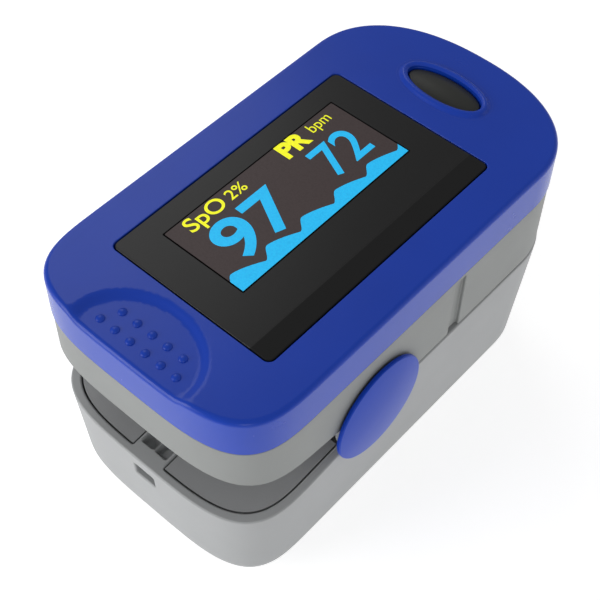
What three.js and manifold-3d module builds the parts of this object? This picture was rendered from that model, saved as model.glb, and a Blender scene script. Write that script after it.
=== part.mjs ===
// Fingertip pulse oximeter: a spring clip of two shells on a hinge, with a display lid on the upper one.
// Millimetres, +Z up. +X is the finger entrance, -X the squeeze end, the base rests on z = 0.
import * as THREE from 'three'
import { mergeVertices } from 'three/addons/utils/BufferGeometryUtils.js'
import Module from 'manifold-3d'

const wasm = await Module()
wasm.setup()

// ---- clearances
const FIT = 0.15
const PLAY = 0.3
const SEAM = 0.2

// ---- cells and contacts
const CELL_RADIUS = 5.25
const CELL_LENGTH = 44.5
const CELL_NUB_LENGTH = 0.9
const CELL_NUB_RADIUS = 1.9
const CELL_GAP = 0.3
const CELL_STAGGER = 1.4
const CONTACT_THICKNESS = 0.3
const CONTACT_HALF_HEIGHT = 3.6
const CONTACT_DIMPLE_RADIUS = 2.2
const CONTACT_SPRING_LENGTH = 2.2
const CONTACT_WIRE = 0.5
const COVER_THICKNESS = 1.3
const COVER_TONGUE = 0.7
const COVER_RIB_PITCH = 1.8

// ---- housing: the room is counted from the cells to the outer face
const SIDE_ROOM = 5.35
const SQUEEZE_ROOM = 5.4
const FINGER_ROOM = 6.7
const FINGER_END_DEPTH = 11.4
const FINGER_END_POWER = 2.28
const SQUEEZE_END_DEPTH = 11.8
const SQUEEZE_END_POWER = 3.9
const END_STEPS = 16
const WALL = 1.4

// ---- lid
const LID_HEIGHT = 5.4
const LID_ROOF = 1.6
const LID_EDGE_RADIUS = 0.8
const UPPER_SHELL_INSET = 0.1
const WINDOW_LENGTH = 35.1
const WINDOW_WIDTH = 21.8
const WINDOW_THICKNESS = 1
const WINDOW_CORNER = 0.7
const WINDOW_LEDGE = 1
const WINDOW_SETBACK = 9.05
const SCOOP_SETBACK = 1.5
const SCOOP_REACH = 6
const SCOOP_HALF_WIDTH = 7.8
const SCOOP_DEPTH = 0.7
const SCOOP_BALL_HEIGHT = 3
const BUMP_RADIUS = 0.62
const BUMP_HEIGHT = 0.35
const BUMP_SINK = 0.2
const BUMP_PITCH = 2.1
const BUMP_ROWS = [
  { setback: 4.1, count: 5 },
  { setback: 2.1, count: 6 },
]

// ---- power button
const BUTTON_SETBACK = 7.6
const BUTTON_HALF_X = 1.95
const BUTTON_HALF_Y = 4.84
const BUTTON_PROUD = 0.25
const BUTTON_FLANGE = 0.7
const BUTTON_FLANGE_THICKNESS = 0.5
const BUTTON_TRAVEL = 0.4
const BUTTON_DOME_HEIGHT = 4
const BUTTON_RING_WIDTH = 1.3
const BUTTON_RING_HEIGHT = 0.3

// ---- display and main board
const PANEL_LENGTH = 31
const PANEL_WIDTH = 15.6
const PANEL_THICKNESS = 1.4
const PANEL_SHIFT_X = 0.3
const PANEL_SHIFT_Y = 1.8
const BRACKET_WALL = 1.5
const RIBBON_WIDTH = 8
const BOARD_THICKNESS = 0.8
const BOARD_SETBACK = 7
const BOARD_PAST_BUTTON = 2.6
const BOARD_HALF_WIDTH = 9.5
const BOARD_CORNER = 1.2
const BOARD_DROP = 3.9
const BOARD_POST_RADIUS = 0.9
const BOARD_POST_INSET = 1.15
const CHIP_SPACE = 2.95
const CHIP_THICKNESS = 1
const PROCESSOR_SIZE = 7
const AMPLIFIER_SIZE = 4.5
const SOCKET_LENGTH = 2.7
const SOCKET_WIDTH = 6
const SOCKET_HEIGHT = 1.2
const SWITCH_SIZE = 4.4
const SWITCH_BODY = 0.8

// ---- squeeze gap and hinge: heights are counted from the parting line of the two shells
const UPPER_EDGE_FRONT_RISE = 3.9
const UPPER_EDGE_HINGE_RISE = 1
const LOWER_RIM_FRONT_DROP = 4.9
const LOWER_RIM_HINGE_DROP = 2.7
const HINGE_SETBACK = 20.2
const HINGE_RISE = 0.3
const EAR_RADIUS = 5.6
const CAP_RADIUS = 6.65
const CAP_RIM = 0.5
const CAP_DOME = 0.4
const CAP_BOSS_RADIUS = 2.1
const PIN_RADIUS = 1
const PIN_LENGTH = 8
const LUG_RADIUS = 3.3
const UPPER_LUG_THICKNESS = 1.9
const LOWER_LUG_THICKNESS = 1.5
const SPRING_WIRE = 0.6
const SPRING_RADIUS = 1.9
const SPRING_TURNS = 3
const SPRING_LEG = 7.6

// ---- lower shell
const DRAFT = 0.9
const END_TAPER = 1.2
const BASE_FILLET = 3.5
const FLOOR = 1.5
const RIM_TAB_HALF_WIDTH = 2.3
const RIM_TAB_DEPTH = 0.9
const LANYARD_HALF_WIDTH = 1.5
const LANYARD_HEIGHT = 1.6
const LANYARD_DROP = 1.8
const LANYARD_LENGTH = 2.4
const GROOVE_PAST_HINGE = 13.65
const GROOVE_WIDTH = 1.9
const GROOVE_DEPTH = 0.45

// ---- finger channel
const CHANNEL_HALF_WIDTH = 9.2
const CHANNEL_RISE = 4.6
const CHANNEL_SINK = 3.9
const CHANNEL_PAST_HINGE = 4.8
const PAD_THICKNESS = 1.3
const FRAME_WALL = 1.1
const FRAME_PLATE = 1
const SENSOR_REACH = 10
const LENS_RADIUS = 2
const LENS_THICKNESS = 0.7
const LED_SIZE = 3
const LED_HEIGHT = 1.2
const DIODE_SIZE = 2.6
const SENSOR_BOARD_LENGTH = 6.8
const SENSOR_BOARD_WIDTH = 6
const FLEX_WIDTH = 4
const FLEX_THICKNESS = 0.2

// ---- screws
const SCREW_RADIUS = 0.6
const SCREW_HEAD_RADIUS = 1.1
const SCREW_HEAD_HEIGHT = 0.7
const SCREW_LENGTH = 4
const LOWER_SCREW_LENGTH = 3.2
const POST_RADIUS = 1.3
const PLATE_SCREW_SETBACK = 7
const CROWN_SCREW_SETBACK = 3.3
const LOWER_SCREW_SETBACKS = { squeeze: 11, finger: 13 }

// ---- widths and lengths worked out from the sizes above
const cellPitch = 2 * CELL_RADIUS + CELL_GAP
const HALF_WIDTH = cellPitch / 2 + CELL_RADIUS + SIDE_ROOM
const WIDTH = 2 * HALF_WIDTH
const LENGTH = SQUEEZE_ROOM + CELL_STAGGER + CELL_LENGTH + FINGER_ROOM
const SQUEEZE_X = -LENGTH / 2
const FINGER_X = LENGTH / 2
const INNER_INSET = WALL + FIT + 0.1
const coverHalfWidth = cellPitch / 2 + CELL_RADIUS + FIT
const padOuterHalfWidth = CHANNEL_HALF_WIDTH + PAD_THICKNESS
const frameInnerHalfWidth = padOuterHalfWidth + FIT
const frameOuterHalfWidth = frameInnerHalfWidth + FRAME_WALL
const upperPadOuter = CHANNEL_RISE + PAD_THICKNESS
const lowerPadOuter = CHANNEL_SINK + PAD_THICKNESS
const archOuter = upperPadOuter + FIT + FRAME_WALL
const troughOuter = lowerPadOuter + FIT + FRAME_WALL

// ---- places along the length
const HINGE_X = SQUEEZE_X + HINGE_SETBACK
const CHANNEL_BACK_X = HINGE_X + CHANNEL_PAST_HINGE
const SENSOR_X = CHANNEL_BACK_X + SENSOR_REACH
const GROOVE_X = HINGE_X + GROOVE_PAST_HINGE
const BUTTON_X = FINGER_X - BUTTON_SETBACK
const SCOOP_CENTRE_X = SQUEEZE_X + SCOOP_SETBACK
const WINDOW_X = SQUEEZE_X + WINDOW_SETBACK
const BOARD_X_MIN = SQUEEZE_X + BOARD_SETBACK
const BOARD_X_MAX = BUTTON_X + BOARD_PAST_BUTTON
const CELL_TWO_X = SQUEEZE_X + SQUEEZE_ROOM
const CELL_ONE_X = CELL_TWO_X + CELL_STAGGER
const COVER_X = CELL_ONE_X + COVER_TONGUE

// ---- heights, stacked from the base: cells, deck, finger channel, chips, board, display, lid
const CELL_Z = FLOOR + 0.2 + CELL_RADIUS
const DECK_Z = CELL_Z + CELL_RADIUS + 0.2
const DECK_TOP_Z = DECK_Z + FRAME_PLATE
const CHANNEL_Z = DECK_Z + troughOuter + 0.35
const PARTING_Z = CHANNEL_Z - 0.2
const CEILING_Z = CHANNEL_Z + CHANNEL_RISE
const TROUGH_Z = CHANNEL_Z - CHANNEL_SINK
const BOARD_Z = CHANNEL_Z + archOuter + CHIP_SPACE
const BOARD_TOP_Z = BOARD_Z + BOARD_THICKNESS
const HEIGHT = BOARD_TOP_Z + BOARD_DROP
const LID_BASE_Z = HEIGHT - LID_HEIGHT
const LID_ROOF_Z = HEIGHT - LID_ROOF
const HINGE_Z = PARTING_Z + HINGE_RISE
const UPPER_EDGE_FRONT_Z = PARTING_Z + UPPER_EDGE_FRONT_RISE
const UPPER_EDGE_HINGE_Z = PARTING_Z + UPPER_EDGE_HINGE_RISE
const LOWER_RIM_FRONT_Z = PARTING_Z - LOWER_RIM_FRONT_DROP
const LOWER_RIM_HINGE_Z = PARTING_Z - LOWER_RIM_HINGE_DROP
const UPPER_PLATE_Z = UPPER_EDGE_FRONT_Z + 1.3

// ---- screw places: two through the plate of the upper frame, one through the crown of its arch
const plateScrewY = HALF_WIDTH - WALL - POST_RADIUS - 1
const crownHeadZ = CHANNEL_Z + upperPadOuter + FIT + 0.1
const upperScrews = [
  ...[1, -1].map((sign) => ({
    x: SQUEEZE_X + PLATE_SCREW_SETBACK,
    y: sign * plateScrewY,
    headZ: UPPER_PLATE_Z - SCREW_HEAD_HEIGHT - 0.1,
    frameTop: UPPER_PLATE_Z + FRAME_PLATE,
  })),
  {
    x: FINGER_X - CROWN_SCREW_SETBACK,
    y: 0,
    headZ: crownHeadZ,
    frameTop: crownHeadZ + SCREW_HEAD_HEIGHT + FRAME_PLATE,
  },
]
const lowerScrewY = cellPitch / 2 + CELL_RADIUS + 0.25 + SCREW_HEAD_RADIUS
const lowerScrewX = [SQUEEZE_X + LOWER_SCREW_SETBACKS.squeeze, FINGER_X - LOWER_SCREW_SETBACKS.finger]
const lowerScrews = [1, -1].flatMap((sign) => lowerScrewX.map((x) => ({ x, y: sign * lowerScrewY, sign })))

// ---- geometry helpers
const blue = 0x2f439f
const lightGrey = 0xa3a5a7
const darkGrey = 0x5c5e61

const material = (color, roughness = 0.45, metalness = 0) =>
  new THREE.MeshStandardMaterial({ color, roughness, metalness })

function solid(geometry) {
  const bare = geometry.clone()
  for (const name of Object.keys(bare.attributes)) {
    if (name !== 'position') bare.deleteAttribute(name)
  }
  const merged = mergeVertices(bare, 1e-4)
  return new wasm.Manifold(new wasm.Mesh({
    numProp: 3,
    vertProperties: new Float32Array(merged.attributes.position.array),
    triVerts: new Uint32Array(merged.index.array),
  }))
}

function surface(body) {
  const mesh = body.getMesh()
  const geometry = new THREE.BufferGeometry()
  geometry.setAttribute('position', new THREE.BufferAttribute(new Float32Array(mesh.vertProperties), 3))
  geometry.setIndex(new THREE.BufferAttribute(new Uint32Array(mesh.triVerts), 1))
  geometry.computeVertexNormals()
  return geometry
}

const join = (first, ...rest) => rest.reduce((sum, next) => sum.add(next), first)
const cut = (first, ...rest) => rest.reduce((left, next) => left.subtract(next), first)

// A box between two corners.
function block(x0, x1, y0, y1, z0, z1) {
  const geometry = new THREE.BoxGeometry(x1 - x0, y1 - y0, z1 - z0)
  geometry.translate((x0 + x1) / 2, (y0 + y1) / 2, (z0 + z1) / 2)
  return solid(geometry)
}

// A round bar standing along Z, from z0 to z1.
function post(x, y, z0, z1, radius, sides = 14) {
  const geometry = new THREE.CylinderGeometry(radius, radius, z1 - z0, sides)
  geometry.rotateX(Math.PI / 2)
  geometry.translate(x, y, (z0 + z1) / 2)
  return solid(geometry)
}

// A round bar along Y, from y0 to y1.
function crossBar(x, z, y0, y1, radius, sides = 24) {
  const geometry = new THREE.CylinderGeometry(radius, radius, y1 - y0, sides)
  geometry.translate(x, (y0 + y1) / 2, z)
  return solid(geometry)
}

// A round bar along X, from x0 to x1.
function lengthBar(y, z, x0, x1, radius, sides = 24) {
  const geometry = new THREE.CylinderGeometry(radius, radius, x1 - x0, sides)
  geometry.rotateZ(Math.PI / 2)
  geometry.translate((x0 + x1) / 2, y, z)
  return solid(geometry)
}

// An oval bar along X: half width in Y, half height in Z.
function ovalBar(x0, x1, halfWidth, halfHeight, z, sides = 40) {
  const geometry = new THREE.CylinderGeometry(1, 1, x1 - x0, sides)
  geometry.rotateZ(Math.PI / 2)
  geometry.scale(1, halfWidth, halfHeight)
  geometry.translate((x0 + x1) / 2, 0, z)
  return solid(geometry)
}

// An upright oval plate.
function ovalPost(x, halfX, halfY, z0, z1, sides = 32) {
  const geometry = new THREE.CylinderGeometry(1, 1, z1 - z0, sides)
  geometry.rotateX(Math.PI / 2)
  geometry.scale(halfX, halfY, 1)
  geometry.translate(x, 0, (z0 + z1) / 2)
  return solid(geometry)
}

// A plate with rounded corners.
function roundedPlate(x0, x1, y0, y1, z0, z1, radius) {
  const shape = new THREE.Shape()
  shape.moveTo(x0 + radius, y0)
  shape.lineTo(x1 - radius, y0)
  shape.absarc(x1 - radius, y0 + radius, radius, -Math.PI / 2, 0)
  shape.lineTo(x1, y1 - radius)
  shape.absarc(x1 - radius, y1 - radius, radius, 0, Math.PI / 2)
  shape.lineTo(x0 + radius, y1)
  shape.absarc(x0 + radius, y1 - radius, radius, Math.PI / 2, Math.PI)
  shape.lineTo(x0, y0 + radius)
  shape.absarc(x0 + radius, y0 + radius, radius, Math.PI, Math.PI * 1.5)
  const depth = z1 - z0
  const geometry = new THREE.ExtrudeGeometry(shape, { depth, bevelEnabled: false, curveSegments: 5 })
  geometry.translate(0, 0, z0)
  return solid(geometry)
}

// A side profile, points of x and z, carried across the width.
function sideProfile(points, y0, y1) {
  const shape = new THREE.Shape(points.map(([x, z]) => new THREE.Vector2(x, z)))
  const geometry = new THREE.ExtrudeGeometry(shape, { depth: y1 - y0, bevelEnabled: false })
  geometry.rotateX(Math.PI / 2)
  geometry.translate(0, y1, 0)
  return solid(geometry)
}

// The plan outline of the housing: two superellipse ends, set in all round by inset
// and at the finger end by fingerInset more.
function planRing(inset = 0, fingerInset = 0) {
  const halfWidth = HALF_WIDTH - inset
  const fingerTip = FINGER_X - inset - fingerInset
  const squeezeTip = SQUEEZE_X + inset
  const fingerDepth = Math.max(FINGER_END_DEPTH - inset - fingerInset, 1)
  const squeezeDepth = Math.max(SQUEEZE_END_DEPTH - inset, 1)
  const ring = []
  const end = (tip, depth, power, from) => {
    const side = Math.sign(tip)
    for (let i = 0; i <= END_STEPS; i++) {
      const angle = from + (Math.PI * i) / END_STEPS
      const along = Math.abs(Math.cos(angle)) ** (2 / power)
      const across = Math.sign(Math.sin(angle)) * Math.abs(Math.sin(angle)) ** (2 / power)
      ring.push([tip - side * depth * (1 - along), halfWidth * across])
    }
  }
  end(fingerTip, fingerDepth, FINGER_END_POWER, -Math.PI / 2)
  end(squeezeTip, squeezeDepth, SQUEEZE_END_POWER, Math.PI / 2)
  return ring
}

// A closed solid through a stack of plan rings, each at its own height.
function loft(levels) {
  const count = levels[0].ring.length
  const positions = []
  for (const { ring, z } of levels) {
    for (const [x, y] of ring) positions.push(x, y, z)
  }
  const index = []
  for (let level = 0; level + 1 < levels.length; level++) {
    for (let i = 0; i < count; i++) {
      const j = (i + 1) % count
      const a = level * count
      const b = a + count
      index.push(a + i, a + j, b + j, a + i, b + j, b + i)
    }
  }
  const top = (levels.length - 1) * count
  const low = positions.length / 3
  positions.push(0, 0, levels[0].z, 0, 0, levels[levels.length - 1].z)
  for (let i = 0; i < count; i++) {
    const j = (i + 1) % count
    index.push(low, j, i, low + 1, top + i, top + j)
  }
  const geometry = new THREE.BufferGeometry()
  geometry.setAttribute('position', new THREE.Float32BufferAttribute(positions, 3))
  geometry.setIndex(index)
  return solid(geometry)
}

const slab = (inset, z0, z1, fingerInset = 0) =>
  loft([{ ring: planRing(inset, fingerInset), z: z0 }, { ring: planRing(inset, fingerInset), z: z1 }])

// A wire or strip swept along points by a section of the given half sizes.
function swept(points, section, steps) {
  const places = points.map(([x, y, z]) => new THREE.Vector3(x, y, z))
  const extrudePath = new THREE.CatmullRomCurve3(places, false, 'centripetal')
  const options = { steps, bevelEnabled: false, extrudePath, curveSegments: 3 }
  return solid(new THREE.ExtrudeGeometry(section, options))
}

function roundSection(radius, sides = 6) {
  const points = []
  for (let i = 0; i < sides; i++) {
    const angle = (2 * Math.PI * i) / sides
    points.push(new THREE.Vector2(radius * Math.cos(angle), radius * Math.sin(angle)))
  }
  return new THREE.Shape(points)
}

// A strip's section: across stands out of the plane of the path, thick lies in it.
function flatSection(across, thick) {
  return new THREE.Shape([
    new THREE.Vector2(-across / 2, -thick / 2),
    new THREE.Vector2(across / 2, -thick / 2),
    new THREE.Vector2(across / 2, thick / 2),
    new THREE.Vector2(-across / 2, thick / 2),
  ])
}

// ---- the assembly
const oximeter = new THREE.Group()

function add(name, body, finish) {
  const mesh = new THREE.Mesh(surface(body), finish)
  mesh.name = name
  oximeter.add(mesh)
}

const sides = [
  { name: 'left', sign: 1 },
  { name: 'right', sign: -1 },
]

// A bar across the wall on one side: near and far are distances from the middle plane.
function sideBar(sign, x, z, near, far, radius, facets) {
  return sign > 0 ? crossBar(x, z, near, far, radius, facets) : crossBar(x, z, -far, -near, radius, facets)
}

// ---- lid
function lidOuter() {
  const levels = [{ ring: planRing(), z: LID_BASE_Z }]
  for (const degrees of [0, 30, 60, 90]) {
    const angle = THREE.MathUtils.degToRad(degrees)
    levels.push({
      ring: planRing(LID_EDGE_RADIUS * (1 - Math.cos(angle))),
      z: HEIGHT - LID_EDGE_RADIUS * (1 - Math.sin(angle)),
    })
  }
  return loft(levels)
}

// The thumb scoop is part of a flattened ball whose lowest point lies SCOOP_DEPTH under the lid face.
const scoopShare = Math.sqrt(1 - ((SCOOP_BALL_HEIGHT - SCOOP_DEPTH) / SCOOP_BALL_HEIGHT) ** 2)
const scoopHalfX = SCOOP_REACH / scoopShare
const scoopHalfY = SCOOP_HALF_WIDTH / scoopShare
const scoopBallZ = HEIGHT - SCOOP_DEPTH + SCOOP_BALL_HEIGHT

function scoopBall() {
  const geometry = new THREE.SphereGeometry(1, 32, 20)
  geometry.rotateX(Math.PI / 2)
  geometry.scale(scoopHalfX, scoopHalfY, SCOOP_BALL_HEIGHT)
  geometry.translate(SCOOP_CENTRE_X, 0, scoopBallZ)
  return solid(geometry)
}

function scoopFloor(x, y) {
  const share = 1 - ((x - SCOOP_CENTRE_X) / scoopHalfX) ** 2 - (y / scoopHalfY) ** 2
  return scoopBallZ - SCOOP_BALL_HEIGHT * Math.sqrt(share)
}

function gripBump(x, y) {
  const geometry = new THREE.SphereGeometry(1, 8, 6)
  geometry.rotateX(Math.PI / 2)
  geometry.scale(BUMP_RADIUS, BUMP_RADIUS, BUMP_HEIGHT + BUMP_SINK)
  geometry.translate(x, y, scoopFloor(x, y) - BUMP_SINK)
  return solid(geometry)
}

// A low rounded bead round the button hole.
function buttonBead() {
  const around = 32
  const inner = 2 * FIT
  const root = -0.3
  const section = [
    [inner, root],
    [inner + BUTTON_RING_WIDTH, root],
    [inner + BUTTON_RING_WIDTH, -0.05],
    [inner + BUTTON_RING_WIDTH * 0.7, BUTTON_RING_HEIGHT * 0.7],
    [inner + BUTTON_RING_WIDTH * 0.4, BUTTON_RING_HEIGHT],
    [inner, BUTTON_RING_HEIGHT * 0.6],
  ]
  const positions = []
  const index = []
  for (let i = 0; i < around; i++) {
    const angle = (2 * Math.PI * i) / around
    for (const [out, up] of section) {
      positions.push(
        BUTTON_X + (BUTTON_HALF_X + out) * Math.cos(angle),
        (BUTTON_HALF_Y + out) * Math.sin(angle),
        HEIGHT + up,
      )
    }
    for (let k = 0; k < section.length; k++) {
      const a = i * section.length
      const b = ((i + 1) % around) * section.length
      const n = (k + 1) % section.length
      index.push(a + k, b + k, b + n, a + k, b + n, a + n)
    }
  }
  const geometry = new THREE.BufferGeometry()
  geometry.setAttribute('position', new THREE.Float32BufferAttribute(positions, 3))
  geometry.setIndex(index)
  return solid(geometry)
}

const windowEndX = WINDOW_X + WINDOW_LENGTH
const windowHalfWidth = WINDOW_WIDTH / 2

function topCover() {
  const pocketZ = HEIGHT - WINDOW_THICKNESS - FIT
  let body = cut(
    lidOuter(),
    slab(WALL, LID_BASE_Z - 1, LID_ROOF_Z),
    roundedPlate(WINDOW_X - FIT, windowEndX + FIT, -windowHalfWidth - FIT, windowHalfWidth + FIT,
      pocketZ, HEIGHT + 1, WINDOW_CORNER + FIT),
    roundedPlate(WINDOW_X + WINDOW_LEDGE, windowEndX - WINDOW_LEDGE, WINDOW_LEDGE - windowHalfWidth,
      windowHalfWidth - WINDOW_LEDGE, LID_ROOF_Z - 1, HEIGHT, WINDOW_CORNER),
    scoopBall(),
  )
  const holeRoom = FIT + 0.05
  body = cut(join(body, buttonBead()),
    ovalPost(BUTTON_X, BUTTON_HALF_X + holeRoom, BUTTON_HALF_Y + holeRoom, LID_ROOF_Z - 1, HEIGHT + 2))
  for (const { setback, count } of BUMP_ROWS) {
    for (let i = 0; i < count; i++) {
      body = join(body, gripBump(SQUEEZE_X + setback, (i - (count - 1) / 2) * BUMP_PITCH))
    }
  }
  for (const { x, y, frameTop } of upperScrews) {
    const low = frameTop + FIT
    body = join(body, post(x, y, low, LID_ROOF_Z + 0.5, POST_RADIUS))
    body = cut(body, post(x, y, low - 1, low + SCREW_LENGTH, SCREW_RADIUS + FIT, 12))
  }
  for (const x of [BOARD_X_MIN + BOARD_POST_INSET, BOARD_X_MAX - BOARD_POST_INSET]) {
    for (const { sign } of sides) {
      const y = sign * (BOARD_HALF_WIDTH - 1.8)
      body = join(body, post(x, y, BOARD_TOP_Z + FIT, LID_ROOF_Z + 0.4, BOARD_POST_RADIUS, 12))
    }
  }
  return body
}

add('top_cover', topCover(), material(blue, 0.35))
add('display_window',
  roundedPlate(WINDOW_X, windowEndX, -windowHalfWidth, windowHalfWidth, HEIGHT - WINDOW_THICKNESS, HEIGHT,
    WINDOW_CORNER),
  material(0x1d1d1d, 0.15))

// ---- display module
const panelX0 = WINDOW_X + (WINDOW_LENGTH - PANEL_LENGTH) / 2 + PANEL_SHIFT_X
const panelX1 = panelX0 + PANEL_LENGTH
const panelY0 = PANEL_SHIFT_Y - PANEL_WIDTH / 2
const panelY1 = PANEL_SHIFT_Y + PANEL_WIDTH / 2
const panelTopZ = HEIGHT - WINDOW_THICKNESS - FIT - 0.1
const panelZ = panelTopZ - PANEL_THICKNESS

add('display_panel', block(panelX0, panelX1, panelY0, panelY1, panelZ, panelTopZ), material(0x453c3c, 0.3))
add('display_bracket',
  cut(block(panelX0, panelX1, panelY0, panelY1, BOARD_TOP_Z + FIT, panelZ - FIT),
    block(panelX0 + BRACKET_WALL, panelX1 - BRACKET_WALL, panelY0 + BRACKET_WALL, panelY1 - BRACKET_WALL,
      BOARD_TOP_Z, panelZ)),
  material(0xe4e4e0, 0.5))

// The ribbon leaves the end of the panel and turns down to the board.
const ribbonPath = [
  [-FIT, panelZ + 0.5],
  [-0.7, panelZ + 0.4],
  [-1, panelZ - 0.1],
  [-1.1, BOARD_TOP_Z + 0.6],
  [-1.5, BOARD_TOP_Z + 0.25],
  [-2.6, BOARD_TOP_Z + 0.2],
].map(([along, z]) => [panelX0 + along, PANEL_SHIFT_Y, z])
add('display_ribbon', swept(ribbonPath, flatSection(RIBBON_WIDTH, 0.15), 10), material(0xb06a28, 0.5))

// ---- main board, with the chips and the socket under it
const socketX = HINGE_X - 4

// A flat part hanging under the board: centre, half sizes and height.
const underBoard = (x, y, halfX, halfY, height) =>
  block(x - halfX, x + halfX, y - halfY, y + halfY, BOARD_Z - FIT - height, BOARD_Z - FIT)

add('main_board',
  roundedPlate(BOARD_X_MIN, BOARD_X_MAX, -BOARD_HALF_WIDTH, BOARD_HALF_WIDTH, BOARD_Z, BOARD_TOP_Z,
    BOARD_CORNER),
  material(0x1f5a36, 0.5))
add('processor_chip',
  underBoard(SENSOR_X + 6, 0, PROCESSOR_SIZE / 2, PROCESSOR_SIZE / 2, CHIP_THICKNESS),
  material(0x222224, 0.5))
add('amplifier_chip',
  underBoard(SENSOR_X - 6, -4.5, AMPLIFIER_SIZE / 2, AMPLIFIER_SIZE / 2, CHIP_THICKNESS),
  material(0x222224, 0.5))
add('cable_socket',
  underBoard(socketX - SOCKET_LENGTH / 2, 0, SOCKET_LENGTH / 2, SOCKET_WIDTH / 2, SOCKET_HEIGHT),
  material(0xe4e0d0, 0.5))

function buttonSwitch() {
  const half = SWITCH_SIZE / 2
  const plungerTop = LID_ROOF_Z - FIT - BUTTON_FLANGE_THICKNESS - BUTTON_TRAVEL - 0.1
  return join(
    block(BUTTON_X - half, BUTTON_X + half, -half, half, BOARD_TOP_Z + 0.1, BOARD_TOP_Z + SWITCH_BODY),
    post(BUTTON_X, 0, BOARD_TOP_Z + SWITCH_BODY / 2, plungerTop, 1, 16))
}

add('button_switch', buttonSwitch(), material(0xb8bbbd, 0.35, 0.6))

// ---- power button
function powerButton() {
  const flangeZ = LID_ROOF_Z - FIT - BUTTON_FLANGE_THICKNESS
  const dome = new THREE.SphereGeometry(1, 32, 24)
  dome.rotateX(Math.PI / 2)
  const top = HEIGHT + BUTTON_PROUD
  dome.scale(BUTTON_HALF_X * 2.2, BUTTON_HALF_Y * 2.2, BUTTON_DOME_HEIGHT)
  dome.translate(BUTTON_X, 0, top - BUTTON_DOME_HEIGHT)
  const stem = ovalPost(BUTTON_X, BUTTON_HALF_X, BUTTON_HALF_Y, flangeZ, top + 1).intersect(solid(dome))
  return join(stem, ovalPost(BUTTON_X, BUTTON_HALF_X + BUTTON_FLANGE, BUTTON_HALF_Y + BUTTON_FLANGE,
    flangeZ, flangeZ + BUTTON_FLANGE_THICKNESS))
}

add('power_button', powerButton(), material(0x2c2e2c, 0.5))

// ---- upper shell
function upperShell() {
  const lip = cut(
    slab(UPPER_SHELL_INSET + WALL - 0.1, LID_BASE_Z - 1.6, LID_BASE_Z - 0.8),
    slab(UPPER_SHELL_INSET + WALL + 0.9, LID_BASE_Z - 2, LID_BASE_Z))
  const tongue = cut(
    slab(WALL + FIT, LID_BASE_Z - 1.2, LID_BASE_Z + 1.2),
    slab(WALL + FIT + 0.8, LID_BASE_Z - 2, LID_BASE_Z + 2))
  const wall = cut(
    slab(UPPER_SHELL_INSET, PARTING_Z - 6, LID_BASE_Z - FIT),
    slab(UPPER_SHELL_INSET + WALL, PARTING_Z - 7, LID_BASE_Z + 1))
  const edge = PARTING_Z + SEAM / 2
  const frontDrop = (UPPER_EDGE_FRONT_Z - UPPER_EDGE_HINGE_Z) / (HINGE_X - SQUEEZE_X)
  const under = sideProfile([
    [SQUEEZE_X - 5, UPPER_EDGE_FRONT_Z + 5 * frontDrop],
    [SQUEEZE_X - 5, PARTING_Z - 8],
    [FINGER_X + 5, PARTING_Z - 8],
    [FINGER_X + 5, edge],
    [HINGE_X, edge],
    [HINGE_X, UPPER_EDGE_HINGE_Z],
  ], -WIDTH, WIDTH)
  let body = cut(join(wall, lip, tongue), under,
    ovalBar(CHANNEL_BACK_X, LENGTH, frameOuterHalfWidth + FIT, archOuter + FIT, CHANNEL_Z))
  for (const { sign } of sides) {
    body = cut(body, sideBar(sign, HINGE_X, HINGE_Z, HALF_WIDTH - 4, HALF_WIDTH + 2, EAR_RADIUS + PLAY, 36))
    const face = HALF_WIDTH - UPPER_SHELL_INSET - GROOVE_DEPTH
    const [y0, y1] = sign > 0 ? [face, face + 3] : [-face - 3, -face]
    body = cut(body, block(GROOVE_X - GROOVE_WIDTH / 2, GROOVE_X + GROOVE_WIDTH / 2, y0, y1,
      PARTING_Z - 1, LID_BASE_Z - 0.6))
  }
  for (const { x, y } of upperScrews) body = cut(body, post(x, y, PARTING_Z, HEIGHT, POST_RADIUS + FIT))
  return body
}

add('upper_shell', upperShell(), material(lightGrey, 0.5))

// ---- upper frame
const upperLugFar = HALF_WIDTH - WALL - PLAY
const upperLugNear = upperLugFar - UPPER_LUG_THICKNESS
const lowerLugFar = upperLugNear - PLAY
const lowerLugNear = lowerLugFar - LOWER_LUG_THICKNESS
const ledWindowHalf = LED_SIZE / 2 + 0.9
const flexSlotHalf = FLEX_WIDTH / 2 + 0.7

// The bore for the hinge pin through a lug whose faces are near and far from the middle plane.
const pinBore = (sign, near, far) =>
  sideBar(sign, HINGE_X, HINGE_Z, near - 1, far + 1, PIN_RADIUS + FIT, 24)

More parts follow.
